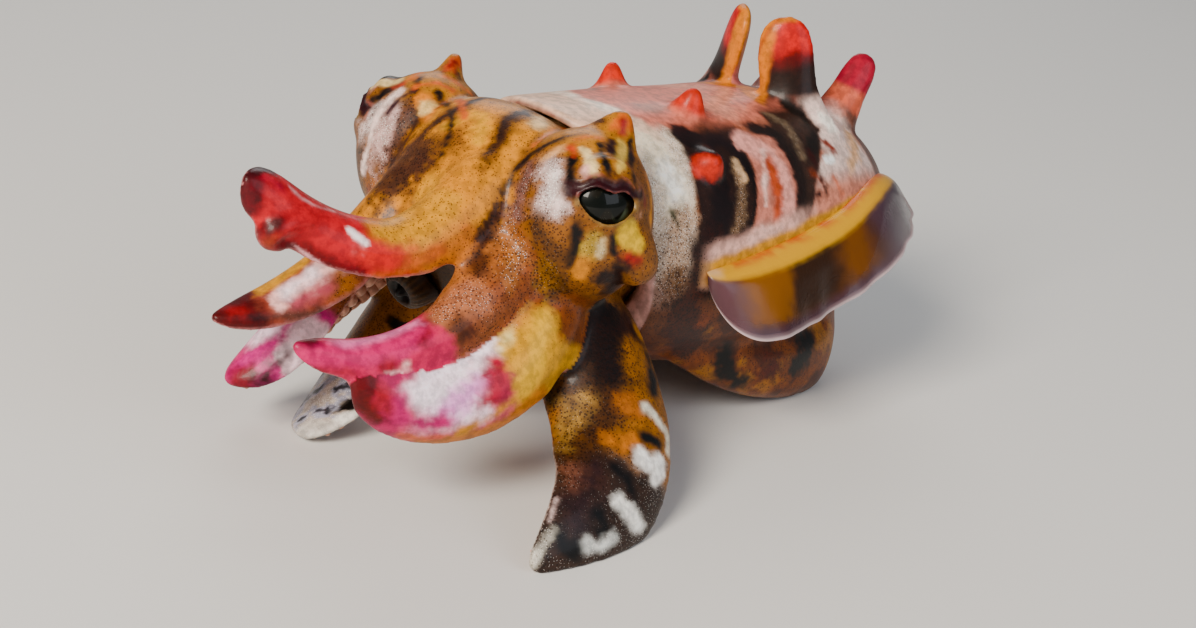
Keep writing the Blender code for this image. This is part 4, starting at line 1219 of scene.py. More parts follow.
class HeadSkin(Skin):
    """The head with its bulges and lids, the funnel and the eight arms."""

    MOUTH = (0, -56, 21)
    STROKES = (
        *strokes(
            # Crown and forehead
            (Wash("6E4636", 0.5, 0.15), 0.89, 0.89, (11.9, -41.9, 40.7), (3.4, -37.4, 39.1),
             (0.7, -39.4, 39.4), (-4.2, -39.1, 38.4)),
            (Wash("F2A436", 0.45, 0.05), 1.06, 0.74, (5.9, -43.7, 38.8), (6.0, -47.0, 38.1),
             (6.6, -49.3, 36.3), (7.4, -51.4, 34.6), (7.7, -53.1, 32.9), (8.0, -54.6, 31.0)),
            (Wash("F5CF9C", 0.2, 0.3), 0.72, 0.77, (5.1, -38.7, 38.5), (-0.1, -36.3, 36.9),
             (5.8, -45.1, 38.7)),
            (Wash("5E3420", 0.6, 0.05), 0.81, 0.75, (2.1, -39.5, 39.0), (3.1, -44.7, 39.5),
             (3.3, -47.1, 38.8), (4.3, -48.9, 37.6), (4.5, -50.4, 36.4), (5.1, -52.6, 35.4)),
            (Wash("F6A52C", 0.42, 0.05), 1.38, 0.85, (-0.4, -46.7, 39.2), (1.2, -48.7, 38.3),
             (2.7, -50.6, 36.7), (3.9, -52.8, 35.3), (4.3, -55.0, 33.7), (4.3, -57.3, 32.0),
             (4.3, -60.2, 30.3)),
            (Wash("FBB83A", 0.3, 0.05), 0.65, 0.86, (0.6, -47.9, 38.7), (2.5, -50.3, 37.0)),
            (Wash("EE7E30", 0.15, 0.1), 0.38, 0.43, (11.0, -43.3, 39.8), (3.4, -37.6, 37.0),
             (7.5, -44.8, 38.0), (7.7, -47.0, 37.2)),
            (Wash("3A1C14", 0.5, 0.0), 0.53, 0.53, (12.0, -45.9, 39.6), (10.7, -47.6, 38.5),
             (8.9, -48.7, 36.8), (8.1, -49.9, 34.7), (8.3, -51.6, 32.3), (8.1, -52.8, 30.4),
             (8.3, -54.4, 28.7)),
            (Wash("5C2A16", 0.6, 0.0), 0.68, 0.84, (8.6, -51.7, 31.6), (8.6, -52.7, 29.5),
             (8.8, -54.6, 27.1), (10.2, -56.1, 26.0)),
            # Silver patch in front of the eye
            (Wash("9C6E64", 0.6, 0.4), 1.04, 1.04, (10.3, -50.0, 35.9), (10.2, -51.1, 33.6),
             (10.5, -51.6, 31.3)),
            (Wash("DCC4C0", 0.5, 0.75, 0.85), 1.54, 1.24, (12.7, -49.7, 36.8), (14.2, -50.4, 35.3),
             (14.0, -51.1, 33.7), (15.2, -50.8, 33.1)),
            (Wash("F0DEDA", 0.35, 0.9, 0.7), 0.67, 1.03, (13.9, -50.0, 36.1), (14.4, -50.8, 34.4)),
            (Wash("F3B884", 0.15, 0.3), 0.57, 0.83, (12.3, -48.3, 38.2), (11.3, -49.3, 37.2)),
            (Wash("F0D6D2", 0.2, 0.5), 0.31, 0.41, (15.5, -50.6, 33.4), (16.3, -50.0, 33.8),
             (17.1, -49.4, 33.8)),
            (Wash("240C0C", 0.0, 0.0), 0.72, 0.41, (14.4, -48.2, 37.7), (15.0, -49.0, 36.7),
             (16.3, -49.9, 35.5), (16.9, -49.4, 34.1)),
            # Brow papilla and the upper lids
            (Wash("E4560E", 0.1, 0.0), 0.41, 0.52, (13.3, -47.5, 38.7), (14.1, -47.7, 38.3)),
            (Wash("F48A24", 0.1, 0.05), 0.47, 0.52, (13.0, -46.3, 39.4), (13.5, -45.0, 39.7),
             (14.2, -44.2, 39.7)),
            (Wash("FFE0A4", 0.05, 0.25), 0.62, 0.41, (14.7, -46.8, 38.7), (16.9, -48.2, 38.1),
             (17.3, -47.7, 36.5), (17.7, -48.0, 36.1)),
            (Wash("F3B8AC", 0.1, 0.2), 0.26, 0.41, (16.6, -48.7, 37.7), (16.9, -48.7, 36.6)),
            (Wash("24100F", 0.0, 0.0), 0.57, 0.41, (15.1, -45.1, 39.1), (17.4, -46.7, 38.6),
             (18.1, -46.8, 37.5)),
            (Wash("66141F", 0.15, 0.05), 0.67, 0.51, (18.1, -47.2, 36.3), (18.2, -46.1, 36.6),
             (18.9, -45.9, 35.9), (19.0, -46.8, 35.5)),
            (Wash("FAD278", 0.05, 0.15), 0.57, 0.42, (15.3, -41.7, 38.9), (16.8, -43.6, 38.2),
             (18.6, -45.4, 37.8)),
            (Wash("2C0A12", 0.0, 0.0), 0.47, 0.42, (15.0, -39.9, 39.1), (16.4, -41.3, 37.9),
             (19.0, -43.7, 37.2), (19.5, -44.1, 35.9)),
        ),
        *strokes(
            (Wash("EE7A22", 0.1, 0.0), 0.64, 0.53, (13.7, -41.3, 40.4), (13.7, -40.2, 41.4),
             (14.4, -39.7, 40.5)),
            (Wash("B42A08", 0.1, 0.0), 0.42, 0.53, (14.0, -40.4, 40.9), (14.3, -40.9, 39.9)),
            sides=LEFT),
        *strokes(
            (Wash("4A1620", 0.1, 0.0), 0.63, 0.63, (15.0, -43.2, 39.3), (16.1, -44.6, 38.6)),
            # Behind the eye
            (Wash("F0A11E", 0.2, 0.05), 0.48, 0.43, (11.2, -33.0, 34.8), (17.5, -39.6, 35.8),
             (18.7, -39.9, 33.5), (19.4, -40.4, 31.4)),
            (Wash("9C3C10", 0.2, 0.0), 0.42, 0.52, (19.0, -42.1, 34.8), (19.3, -41.8, 33.7)),
            (Wash("F6B896", 0.1, 0.2), 0.21, 0.31, (18.0, -41.6, 32.7), (19.9, -43.3, 32.8)),
            # Under the eye, the cheek lobe and the side of the face
            (Wash("260A0C", 0.0, 0.0), 0.72, 0.51, (17.1, -49.3, 32.4), (17.5, -49.7, 31.1),
             (17.5, -49.6, 29.1), (17.0, -49.7, 27.4)),
            (Wash("D8B45C", 0.5, 0.3), 0.88, 0.51, (18.5, -48.0, 31.6), (18.7, -48.4, 30.0),
             (18.4, -48.6, 28.6)),
            (Wash("EBD2A2", 0.2, 0.5), 0.41, 0.52, (19.2, -47.6, 30.4), (19.1, -47.4, 29.0)),
            (Wash("F2A01E", 0.3, 0.05), 0.78, 0.62, (18.2, -48.7, 27.9), (17.5, -48.7, 26.3)),
            (Wash("2C0C10", 0.0, 0.0), 0.41, 0.41, (19.2, -47.2, 31.9), (19.7, -46.6, 30.7),
             (19.7, -46.1, 29.0)),
            (Wash("FBCF2C", 0.08, 0.05), 1.14, 0.52, (19.7, -45.3, 32.0), (20.7, -44.9, 30.9),
             (21.1, -44.1, 29.8)),
            (Wash("BE300A", 0.1, 0.0), 0.73, 0.62, (20.8, -44.7, 28.6), (21.3, -43.8, 28.1)),
            (Wash("3E0E08", 0.3, 0.0), 1.16, 1.05, (19.0, -46.0, 26.1), (19.8, -45.0, 26.9),
             (18.2, -43.7, 23.9)),
            (Wash("84542A", 0.7, 0.2), 1.56, 1.45, (14.2, -51.6, 30.3), (15.5, -50.9, 28.7),
             (15.0, -50.5, 26.2), (15.3, -49.4, 24.5)),
            (Wash("B07A34", 0.7, 0.3), 0.73, 1.25, (14.8, -51.0, 27.1), (13.7, -50.2, 24.6)),
            (Wash("C67E4A", 0.6, 0.5), 1.25, 1.25, (10.2, -51.5, 28.6), (11.9, -52.5, 27.1),
             (12.8, -54.1, 25.5)),
        ),
    )
    FAR = strokes(
        (Wash("6E4234", 0.7, 0.25, 0.85), 3.22, 2.88, (10.5, -50.1, 35.8), (9.7, -51.3, 32.4),
         (5.3, -55.5, 30.8), (4.3, -53.4, 33.0)),
        (Wash("54282A", 0.7, 0.15, 0.7), 1.63, 1.96, (3.8, -55.1, 30.6), (2.0, -53.4, 33.7),
         (4.6, -57.0, 28.9)),
        # Painted highlight: a pinkish-white sheen on the far eye bulge
        (Wash("E0B4A8", 0.35, 0.6, 0.8), 1.13, 1.81, (11.3, -50.8, 34.9), (11.8, -51.6, 32.8),
         (12.1, -51.9, 30.6)),
        (Wash("7A4A34", 0.6, 0.1, 0.5), 1.42, 0.87, (9.0, -50.6, 33.5), (3.1, -52.7, 34.4),
         (1.9, -51.6, 35.7), (0.9, -53.7, 33.5), (5.1, -55.1, 31.2), (6.7, -55.9, 29.7), (3.0, -55.2, 30.7)),
        # Painted highlight: the brighter core of the sheen on the far eye bulge
        (Wash("DCBAB4", 0.4, 0.6, 0.75), 1.02, 0.90, (11.4, -50.0, 36.2), (11.4, -51.0, 34.5),
         (11.7, -51.7, 32.5)),
        (Wash("5A3038", 0.2, 0.1), 0.28, 0.34, (12.1, -50.3, 35.9), (11.7, -49.0, 37.5),
         (11.0, -47.7, 38.6)),
        (Wash("F4D8D0", 0.05, 0.5), 0.40, 0.46, (14.2, -51.5, 28.6), (13.4, -51.7, 31.4),
         (13.5, -51.0, 34.1), (13.4, -49.7, 36.6), (12.4, -48.4, 38.1)),
        (Wash("F2944A", 0.1, 0.1), 1.01, 0.56, (9.4, -47.5, 38.1), (7.1, -48.7, 36.5)),
        (Wash("FCD492", 0.1, 0.3), 0.68, 0.56, (8.5, -47.6, 37.4), (8.5, -48.2, 36.9)),
        (Wash("2E1812", 0.2, 0.0), 0.50, 0.55, (9.0, -45.9, 38.7), (6.7, -46.3, 38.0), (2.6, -49.5, 37.6),
         (0.8, -51.5, 36.0), (0.2, -53.0, 34.4)),
        (Wash("F0761E", 0.1, 0.0), 0.45, 0.45, (11.3, -47.1, 39.0), (10.1, -45.0, 39.4), (8.7, -44.0, 38.9),
         (4.0, -46.8, 38.7), (1.3, -48.9, 38.1)),
        (Wash("F06A1A", 0.1, 0.0), 0.81, 0.58, (11.7, -41.8, 40.7), (12.0, -40.2, 41.3)),
        (Wash("B01C08", 0.1, 0.0), 0.35, 0.46, (11.8, -41.8, 40.7), (11.9, -40.9, 41.1)),
        sides=RIGHT)
    ARM_STROKES = (
        *strokes(
            (Wash("F7B01A", 0.5, 0.05), 2.08, 0.83, (5.5, -57.8, 31.5), (5.4, -60.3, 29.9),
             (4.9, -62.3, 29.5), (4.2, -64.1, 29.7), (1.0, -55.1, 31.4)),
            (Wash("F0921C", 0.5, 0.05), 0.53, 0.64, (-6.0, -58.5, 27.2), (-3.7, -57.6, 27.9),
             (3.5, -65.0, 30.1)),
            (Wash("E8780F", 0.3, 0.05), 0.46, 0.62, (5.7, -65.7, 25.1), (6.6, -63.5, 25.4),
             (7.3, -61.5, 26.4), (7.7, -59.3, 27.5)),
            (Wash("EE1606", 0.0, 0.0), 1.22, 0.81, (5.9, -66.0, 27.3), (5.2, -67.9, 28.0),
             (6.3, -65.0, 26.7)),
            (Wash("E6043A", 0.0, 0.0), 1.69, 0.80, (4.4, -69.3, 29.1), (3.5, -71.2, 30.3),
             (2.9, -72.9, 31.8), (1.9, -74.4, 33.2), (1.0, -75.5, 34.7)),
            (Wash("A80226", 0.0, 0.0), 0.40, 0.60, (4.5, -69.0, 26.1), (3.8, -71.1, 27.3),
             (3.0, -73.1, 28.8)),
            (Wash("8E0A28", 0.0, 0.0), 0.79, 0.79, (0.5, -78.2, 33.7), (0.5, -77.8, 35.1),
             (0.2, -78.1, 32.4)),
            (Wash("D01A46", 0.0, 0.1), 0.39, 0.59, (0.4, -76.3, 35.4), (1.1, -75.1, 34.5)),
            (Wash("7E0420", 0.0, 0.0), 0.69, 0.59, (2.4, -76.4, 31.4), (2.3, -77.2, 30.6)),
            # Painted highlight: a short white streak on the red part of the arm
            (Wash("FFF0F0", 0.0, 0.2), 0.35, 0.20, (4.1, -68.4, 29.9), (4.6, -67.8, 29.2),
             (5.1, -67.1, 28.6)),
            (Wash("F6B8BC", 0.0, 0.2), 0.15, 0.20, (2.2, -74.1, 28.8), (2.7, -72.7, 27.6),
             (3.4, -70.8, 26.3), (-3.8, -62.5, 21.6)),
            (Wash("F3B0B4", 0.0, 0.2), 0.15, 0.20, (0.9, -73.8, 34.2), (1.7, -72.8, 33.1),
             (2.1, -71.3, 32.2), (2.2, -69.1, 31.4)),
            sides=LEFT, arms=("arm1_left",)),
        *strokes(
            (Wash("D88E52", 0.5, 0.3), 1.24, 1.24, (13.6, -55.8, 23.4), (13.6, -53.2, 21.2),
             (13.9, -57.2, 21.5)),
            (Wash("FDC61A", 0.15, 0.05), 1.25, 0.73, (15.6, -50.8, 21.1), (16.6, -52.2, 19.3),
             (17.3, -53.3, 17.5), (17.7, -55.1, 15.2)),
            (Wash("F6E2A0", 0.1, 0.3), 0.62, 0.93, (14.7, -55.1, 19.4), (14.9, -56.3, 18.4)),
            (Wash("FDEBF6", 0.0, 0.3), 1.74, 1.23, (13.4, -57.7, 18.1), (12.9, -60.2, 17.4),
             (13.5, -63.2, 16.6), (14.1, -65.6, 15.4)),
            (Wash("F3A6E2", 0.0, 0.15), 0.81, 1.22, (15.9, -62.0, 14.2), (15.4, -63.8, 13.4),
             (16.0, -60.4, 15.2)),
            (Wash("E0107E", 0.0, 0.0), 0.81, 1.01, (13.4, -68.4, 14.5), (13.6, -67.9, 13.0),
             (14.5, -66.2, 12.2), (15.3, -64.3, 12.1)),
            (Wash("D01848", 0.0, 0.0), 0.72, 0.92, (15.4, -57.2, 17.4), (16.8, -57.0, 16.1),
             (17.0, -58.3, 14.9), (16.8, -59.5, 14.0)),
            (Wash("8A0810", 0.0, 0.0), 0.90, 0.90, (11.4, -71.7, 15.5), (11.6, -71.0, 14.0),
             (12.2, -69.8, 12.6)),
            (Wash("C8103A", 0.0, 0.0), 0.60, 0.80, (12.3, -70.0, 15.8), (12.9, -69.3, 13.9)),
            (Wash("F0A82A", 0.05, 0.05), 0.51, 0.51, (17.7, -56.5, 13.6), (17.3, -58.3, 12.5),
             (16.7, -60.2, 11.6), (16.0, -61.6, 10.8)),
            (Wash("EE6A5A", 0.05, 0.1), 0.31, 0.41, (12.8, -67.2, 10.5), (13.6, -65.4, 9.9),
             (14.9, -63.6, 10.2)),
            sides=LEFT, arms=("arm3_left",)),
        *strokes(
            (Wash("CE8462", 0.6, 0.4), 1.54, 1.23, (11.2, -57.9, 24.6), (11.3, -59.9, 23.3),
             (11.2, -61.8, 22.3), (12.9, -57.9, 23.5)),
            (Wash("7A4426", 0.6, 0.1), 0.93, 1.04, (9.8, -55.7, 26.3), (10.6, -56.7, 25.6)),
            (Wash("8A4A22", 0.6, 0.1), 0.71, 0.91, (13.2, -60.5, 21.4), (13.4, -61.1, 20.8)),
            (Wash("EC1478", 0.0, 0.0), 1.29, 0.60, (7.4, -76.4, 19.2), (8.9, -74.5, 19.1),
             (9.9, -72.2, 19.2), (10.8, -69.7, 19.5), (11.5, -67.1, 19.9), (11.7, -64.7, 20.7)),
            # Painted highlight: a pale pink streak along the magenta arm
            (Wash("FA86BE", 0.0, 0.1), 0.45, 0.70, (9.0, -72.1, 20.0), (9.3, -69.2, 20.1),
             (9.6, -66.2, 20.6), (9.9, -64.3, 21.1)),
            (Wash("C20A3C", 0.0, 0.0), 0.45, 0.60, (8.6, -74.7, 17.8), (10.0, -72.7, 17.5),
             (10.4, -69.8, 17.2), (11.9, -68.4, 18.1)),
            (Wash("B81440", 0.0, 0.0), 0.40, 0.51, (10.8, -63.5, 21.4), (12.1, -63.8, 20.9),
             (12.5, -64.8, 19.8)),
            (Wash("FFD6D0", 0.0, 0.2), 0.30, 0.30, (11.8, -67.6, 17.4), (12.5, -66.7, 18.1)),
            sides=LEFT, arms=("arm2_left",)),
        *strokes(
            (Wash("6E4A1C", 0.6, 0.1), 1.11, 1.11, (9.1, -51.1, 16.8), (10.3, -52.2, 15.5),
             (-6.5, -63.4, 25.0)),
            (Wash("C87E3C", 0.55, 0.2), 1.10, 1.10, (3.0, -61.7, 21.0), (3.3, -62.8, 20.0),
             (9.8, -54.4, 15.5)),
            (Wash("CC5C6C", 0.1, 0.1), 0.75, 0.86, (4.2, -64.1, 20.3), (4.8, -65.5, 19.5),
             (5.2, -67.0, 18.7)),
            (Wash("FCE6EE", 0.0, 0.3), 0.59, 0.65, (5.8, -64.6, 21.3), (6.2, -66.1, 20.4),
             (6.4, -67.4, 19.5)),
            (Wash("F2AE10", 0.1, 0.05), 0.43, 0.43, (7.9, -64.4, 21.7), (8.3, -66.1, 20.7),
             (8.1, -68.0, 19.7)),
            (Wash("7E5448", 0.3, 0.2), 0.43, 0.64, (5.7, -69.3, 17.4), (4.6, -66.8, 17.3),
             (3.8, -64.8, 17.7)),
            (Wash("B4082A", 0.0, 0.0), 0.75, 0.64, (8.1, -73.1, 17.7), (7.2, -72.0, 17.6)),
            (Wash("4E0812", 0.0, 0.0), 0.53, 0.64, (6.7, -71.5, 17.3), (6.1, -70.6, 17.1)),
            sides=RIGHT, arms=("arm1_right",)),
        *strokes(
            # Pale pink over the rounded end, partly a painted highlight on the magenta
            (Wash("FBDDEC", 0.0, 0.2), 0.79, 0.90, (13.1, -65.1, 12.1), (13.9, -66.0, 10.8),
             (11.2, -64.6, 12.9)),
            (Wash("EE0E86", 0.0, 0.0), 1.02, 1.02, (14.3, -67.0, 9.6), (14.7, -68.2, 8.1),
             (13.5, -69.5, 7.3)),
            (Wash("B00838", 0.0, 0.0), 0.89, 0.89, (10.9, -68.0, 8.7), (11.5, -69.1, 7.3)),
            # Dark maroon on the far side of the rounded end, partly painted shade
            (Wash("580414", 0.0, 0.0), 1.00, 0.89, (9.3, -66.3, 9.7), (8.8, -65.2, 10.8), (9.5, -67.2, 8.1)),
            sides=RIGHT, arms=("arm2_right",)),
        *strokes(
            (Wash("3A1608", 0.7, 0.05), 3.23, 1.72, (15.9, -42.2, 19.3), (17.9, -43.9, 16.9),
             (19.4, -45.1, 14.8), (17.4, -46.7, 14.7)),
            (Wash("5E5020", 0.65, 0.15), 0.85, 1.06, (17.8, -50.4, 15.7), (16.4, -49.0, 12.0),
             (17.5, -48.8, 12.0)),
            (Wash("6E4220", 0.7, 0.15), 2.32, 1.48, (19.1, -47.6, 12.9), (19.8, -49.5, 10.7),
             (22.7, -51.5, 8.9), (24.8, -52.7, 7.8), (21.5, -46.9, 11.9)),
            (Wash("D28C34", 0.2, 0.05), 1.02, 0.68, (16.7, -36.3, 17.0), (13.9, -30.9, 14.2)),
            (Wash("0A0606", 0.0, 0.0), 0.99, 0.66, (19.1, -36.9, 14.9), (20.8, -37.9, 13.6),
             (22.2, -38.8, 12.4)),
            (Wash("C8781A", 0.35, 0.05), 0.80, 0.86, (22.5, -44.0, 12.6), (23.3, -43.1, 12.0)),
            (Wash("DC861C", 0.3, 0.05), 0.74, 0.74, (24.1, -48.0, 9.7), (25.2, -46.9, 9.2),
             (25.3, -45.2, 9.5)),
            (Wash("C79A58", 0.6, 0.3), 0.64, 1.06, (18.6, -49.0, 11.5), (19.3, -50.4, 10.0),
             (21.3, -52.0, 8.9), (19.5, -47.4, 12.9)),
            (Wash("9C6450", 0.6, 0.3), 0.93, 1.04, (24.1, -53.5, 7.9), (25.9, -52.3, 7.2),
             (25.8, -54.4, 6.9)),
            (Wash("4E3234", 0.4, 0.15), 1.24, 1.24, (25.0, -50.6, 8.2), (26.8, -53.1, 6.4),
             (27.2, -55.5, 5.5), (28.2, -56.6, 4.2)),
            (Wash("EFE8D6", 0.05, 0.4), 0.60, 0.43, (23.6, -41.4, 11.7), (24.6, -40.2, 10.1),
             (25.3, -39.3, 8.5), (26.2, -40.2, 7.4)),
            (Wash("181C24", 0.0, 0.1), 0.64, 0.43, (25.4, -43.7, 9.7), (25.9, -42.1, 8.8),
             (26.2, -41.7, 8.3)),
            (Wash("F6F3EE", 0.0, 0.5), 1.02, 0.53, (26.7, -45.1, 8.0), (27.3, -44.0, 7.0),
             (27.1, -42.5, 7.0), (28.0, -43.9, 5.8)),
            (Wash("1A161A", 0.0, 0.1), 0.79, 0.53, (26.2, -49.0, 7.8), (27.4, -48.2, 6.8),
             (28.6, -48.0, 5.1)),
            (Wash("F2F0EA", 0.0, 0.5), 1.00, 0.53, (28.7, -50.0, 4.8), (29.4, -48.8, 3.6),
             (29.8, -47.9, 2.3)),
            (Wash("161216", 0.0, 0.1), 0.72, 0.62, (28.5, -53.4, 4.5), (29.3, -52.8, 3.3),
             (29.4, -53.7, 2.9)),
            (Wash("DADCD8", 0.1, 0.5), 0.62, 0.52, (29.5, -55.8, 2.0), (30.0, -53.8, 1.6),
             (29.9, -52.3, 2.0)),
            (Wash("1C1512", 0.1, 0.1), 0.92, 0.81, (27.9, -58.8, 3.6), (28.9, -58.2, 2.5),
             (29.4, -57.4, 1.8)),
            (Wash("D2CCBE", 0.45, 0.5), 0.45, 0.51, (27.5, -59.0, 3.9), (27.9, -60.9, 2.4),
             (28.0, -62.0, 1.4)),
            (Wash("DDC2BC", 0.0, 0.3), 0.15, 0.20, (25.9, -57.1, 6.1), (26.9, -58.9, 4.5)),
            sides=LEFT, arms=("arm4_left",)),
    )
    FIRST = ("arm1_left", "arm1_right")
    THIRD = ("arm3_left", "arm3_right")
    LOWEST = ("arm4_left", "arm4_right")
    ARM_MARKS = (
        ArmMark(NAMES, Wash("D99A8C", 0.15, 0.25), (0.22, 1.1), faces=INSIDE),
        ArmMark(FIRST, Wash("F2A21E", 0.42, 0.05), (0.14, 0.62), faces=OUTSIDE),
        ArmMark(("arm1_left",), Wash("E0801E", 0.5, 0.05, 0.8), (0.3, 0.56), (-1.3, -0.45), 1.6, OUTSIDE),
        ArmMark(("arm1_left",), Wash("F04E0A", 0.1, 0.0), (0.50, 1.1), WHOLE, 2.4),
        ArmMark(("arm1_left",), Wash("E4063A", 0.0, 0.0), (0.60, 1.1), WHOLE, 2.6),
        ArmMark(("arm1_left",), Wash("8E0622", 0.0, 0.0, 0.9), (0.62, 0.9), (-1.3, -0.62), 1.0, OUTSIDE),
        # Painted highlight on the arm's outer face: a pale pink spot, then a pink fringe after it
        ArmMark(("arm1_left",), Wash("FFC9CC", 0.0, 0.2), (0.645, 0.675), (-0.42, -0.12), 0.5, OUTSIDE),
        ArmMark(("arm1_left",), Wash("F27A94", 0.0, 0.1, 0.6), (0.67, 0.71), (-0.35, -0.1), 0.8, OUTSIDE),
        ArmMark(("arm1_left",), Wash("6A0A1C", 0.0, 0.0), (0.93, 1.1), WHOLE, 1.2),
        ArmMark(("arm2_left",), Wash("B4643C", 0.6, 0.2), (0.14, 0.56), faces=OUTSIDE),
        ArmMark(("arm2_left",), Wash("D88A52", 0.5, 0.2, 0.7), (0.22, 0.5), (0.2, 1.3), 1.6, OUTSIDE),
        ArmMark(("arm2_left",), Wash("EA0E66", 0.0, 0.0), (0.56, 1.1), WHOLE, 1.6),
        ArmMark(("arm2_left",), Wash("F48AB8", 0.0, 0.15, 0.9), (0.60, 0.9), (0.22, 0.8), 1.0, OUTSIDE),
        ArmMark(("arm2_left",), Wash("6E2A18", 0.1, 0.0), (0.49, 0.545), (-0.6, 0.1), 0.7, OUTSIDE),
        ArmMark(("arm2_left",), Wash("8A0628", 0.0, 0.0), (0.92, 1.1), WHOLE, 1.4),
        ArmMark(("arm2_left",), Wash("FFD0D2", 0.0, 0.2), (0.70, 0.745), (-1.0, -0.62), 0.6),
        ArmMark(THIRD, Wash("A85A22", 0.5, 0.1), (0.12, 0.40), faces=OUTSIDE),
        ArmMark(THIRD, Wash("F4B61E", 0.3, 0.05), (0.32, 0.56), (-1.3, 0.9), 2.0, OUTSIDE),
        ArmMark(THIRD, Wash("EE6E7E", 0.05, 0.1), (0.53, 1.1), WHOLE, 1.6),
        ArmMark(THIRD, Wash("FDEAF4", 0.0, 0.2), (0.61, 0.80), (-0.45, 0.9), 2.4, OUTSIDE),
        ArmMark(THIRD, Wash("C91A52", 0.0, 0.0, 0.9), (0.52, 0.585), (-0.4, 1.3), 1.0, OUTSIDE),
        ArmMark(THIRD, Wash("DE1C70", 0.0, 0.0), (0.82, 1.1), WHOLE, 2.2),
        ArmMark(THIRD, Wash("E8922A", 0.1, 0.1, 0.95), (0.45, 0.80), (-1.3, -0.66), 0.9),
        ArmMark(THIRD, Wash("8A0A24", 0.0, 0.0), (0.93, 1.1), WHOLE, 1.6),
        ArmMark(LOWEST, Wash("52200E", 0.5, 0.05), (0.10, 0.34), faces=OUTSIDE),
        ArmMark(LOWEST, Wash("BC7A34", 0.6, 0.15), (0.30, 0.62), WHOLE, 3.0, OUTSIDE),
        ArmMark(LOWEST, Wash("5A4034", 0.6, 0.35), (0.60, 1.1), WHOLE, 3.0, OUTSIDE),
        ArmMark(("arm1_right",), Wash("C0604C", 0.15, 0.1), (0.55, 1.1), WHOLE, 2.4),
        ArmMark(("arm1_right",), Wash("F7B23A", 0.15, 0.1), (0.50, 0.86), (0.15, 1.3), 0.9),
        ArmMark(("arm1_right",), Wash("FFC8C2", 0.0, 0.2), (0.58, 0.84), (-0.55, -0.05), 1.0, OUTSIDE),
        ArmMark(("arm1_right",), Wash("84051A", 0.0, 0.0), (0.86, 1.1), WHOLE, 1.6),
        ArmMark(("arm2_right",), Wash("B4643C", 0.6, 0.2), (0.14, 0.6), faces=OUTSIDE),
        ArmMark(("arm2_right",), Wash("F0449A", 0.0, 0.05), (0.60, 1.1), WHOLE, 1.8),
        ArmMark(("arm2_right",), Wash("FBDCE6", 0.0, 0.15), (0.66, 0.86), (-1.3, -0.45), 1.2),
        ArmMark(("arm2_right",), Wash("9C0626", 0.0, 0.0), (0.94, 1.1), WHOLE, 1.4),
        ArmMark(("arm4_right",), Wash("B4B4C4", 0.2, 0.5), (0.62, 1.1), WHOLE, 2.4),
    )

    def additions(self) -> list[bpy.types.Object]:
        """Returns the lids of both eyes."""
        return [self.lid(side) for side in BOTH]

    def lid(self, side: int) -> bpy.types.Object:
        """Makes the skin that covers an eyeball and leaves an opening.

        Args:
            side: 1 on the left, -1 on the right.

        Returns:
            A shell a little larger than the eyeball.
        """
        shell = added(bpy.ops.mesh.primitive_uv_sphere_add, segments=96, ring_count=64,
                      radius=(EYE_RADIUS + LID_CLEARANCE) * MM)
        look, across, up = eye_axes(side)
        turn = Matrix((across * side, up, look)).transposed().to_4x4()
        centre = mirrored(EYE_CENTRE, side)
        shell.data.transform(Matrix.Translation(PLACE.to_model(centre)) @ turn)
        spots = PLACE.to_animal(corners(shell)) - centre
        u, v, w = spots @ across, spots @ up, spots @ look
        gone = (opening(u, v) < 0) & (w > 0) | (w < -1.0)
        select_only(shell)
        mesh = bmesh.new()
        mesh.from_mesh(shell.data)
        mesh.verts.ensure_lookup_table()
        bmesh.ops.delete(mesh, geom=[mesh.verts[i] for i in np.flatnonzero(gone)], context="VERTS")
        mesh.to_mesh(shell.data)
        mesh.free()
        apply_modifier(shell, "SOLIDIFY", thickness=LID_THICKNESS * MM, offset=0.0)
        return shell

    def paint(self) -> None:
        """Lays the head's and the arms' markings, and painted shade in the hollow round the mouth."""
        canvas = Canvas(self.obj)
        x, y, z = canvas.points.T
        canvas.lay(np.ones(len(x)), Wash("B0713A", 0.6, 0.15))
        canvas.lay(ramp(z + canvas.warp, 37, 39) * ramp(y, -50, -46), Wash("DA9432", 0.45, 0.1))
        canvas.lay(ramp(z + canvas.warp, 16, 12) * ramp(y, -50, -46), Wash("D8B8A4", 0.15, 0.2))
        canvas.arms = self.find_arms(canvas)
        self.mark_arms(canvas)
        on = canvas.arms
        # Painted shade: dark olive-brown in the hollow between the arms' inner bases, round the mouth
        inside = ((on.face < 0) & (on.t < 0.4) | (on.on_arm < 0.02)) * ramp(y, -48, -51)
        from_mouth = np.linalg.norm(canvas.points - self.MOUTH, axis=1) + canvas.warp
        canvas.lay(inside * ramp(from_mouth, 12, 7), Wash("5A3E14", 0.5, 0.05, 0.9))
        for mark in self.STROKES + self.FAR + self.ARM_STROKES:
            canvas.stroke(mark)
        self.round_eyes(canvas)
        canvas.keep()
        self.press_cups(canvas)

    def round_eyes(self, canvas: Canvas) -> None:
        """Folds and paints the lids: dark red above the opening with painted highlights on its fold crests,
        pale below it.

        Args:
            canvas: The head's canvas.
        """
        for side in BOTH:
            look, across, up = eye_axes(side)
            rel = canvas.points - mirrored(EYE_CENTRE, side)
            u, v, w = rel @ across, rel @ up, rel @ look
            away = np.linalg.norm(rel, axis=1)
            near = ramp(away, 6.2, 5.6) * ramp(w, 0.5, 1.5)
            edge = opening(u, v) + canvas.fine * 0.15
            upper = ramp(v - 0.2, -0.3, 0.5)
            fold = np.cos(np.clip(edge - 0.25, -1, 3) * 4.4)
            reach = near * ramp(edge, 2.4, 1.2) * upper
            canvas.lay(reach * ramp(edge, 1.9, 1.2), Wash("561420", 0.0, 0.0))
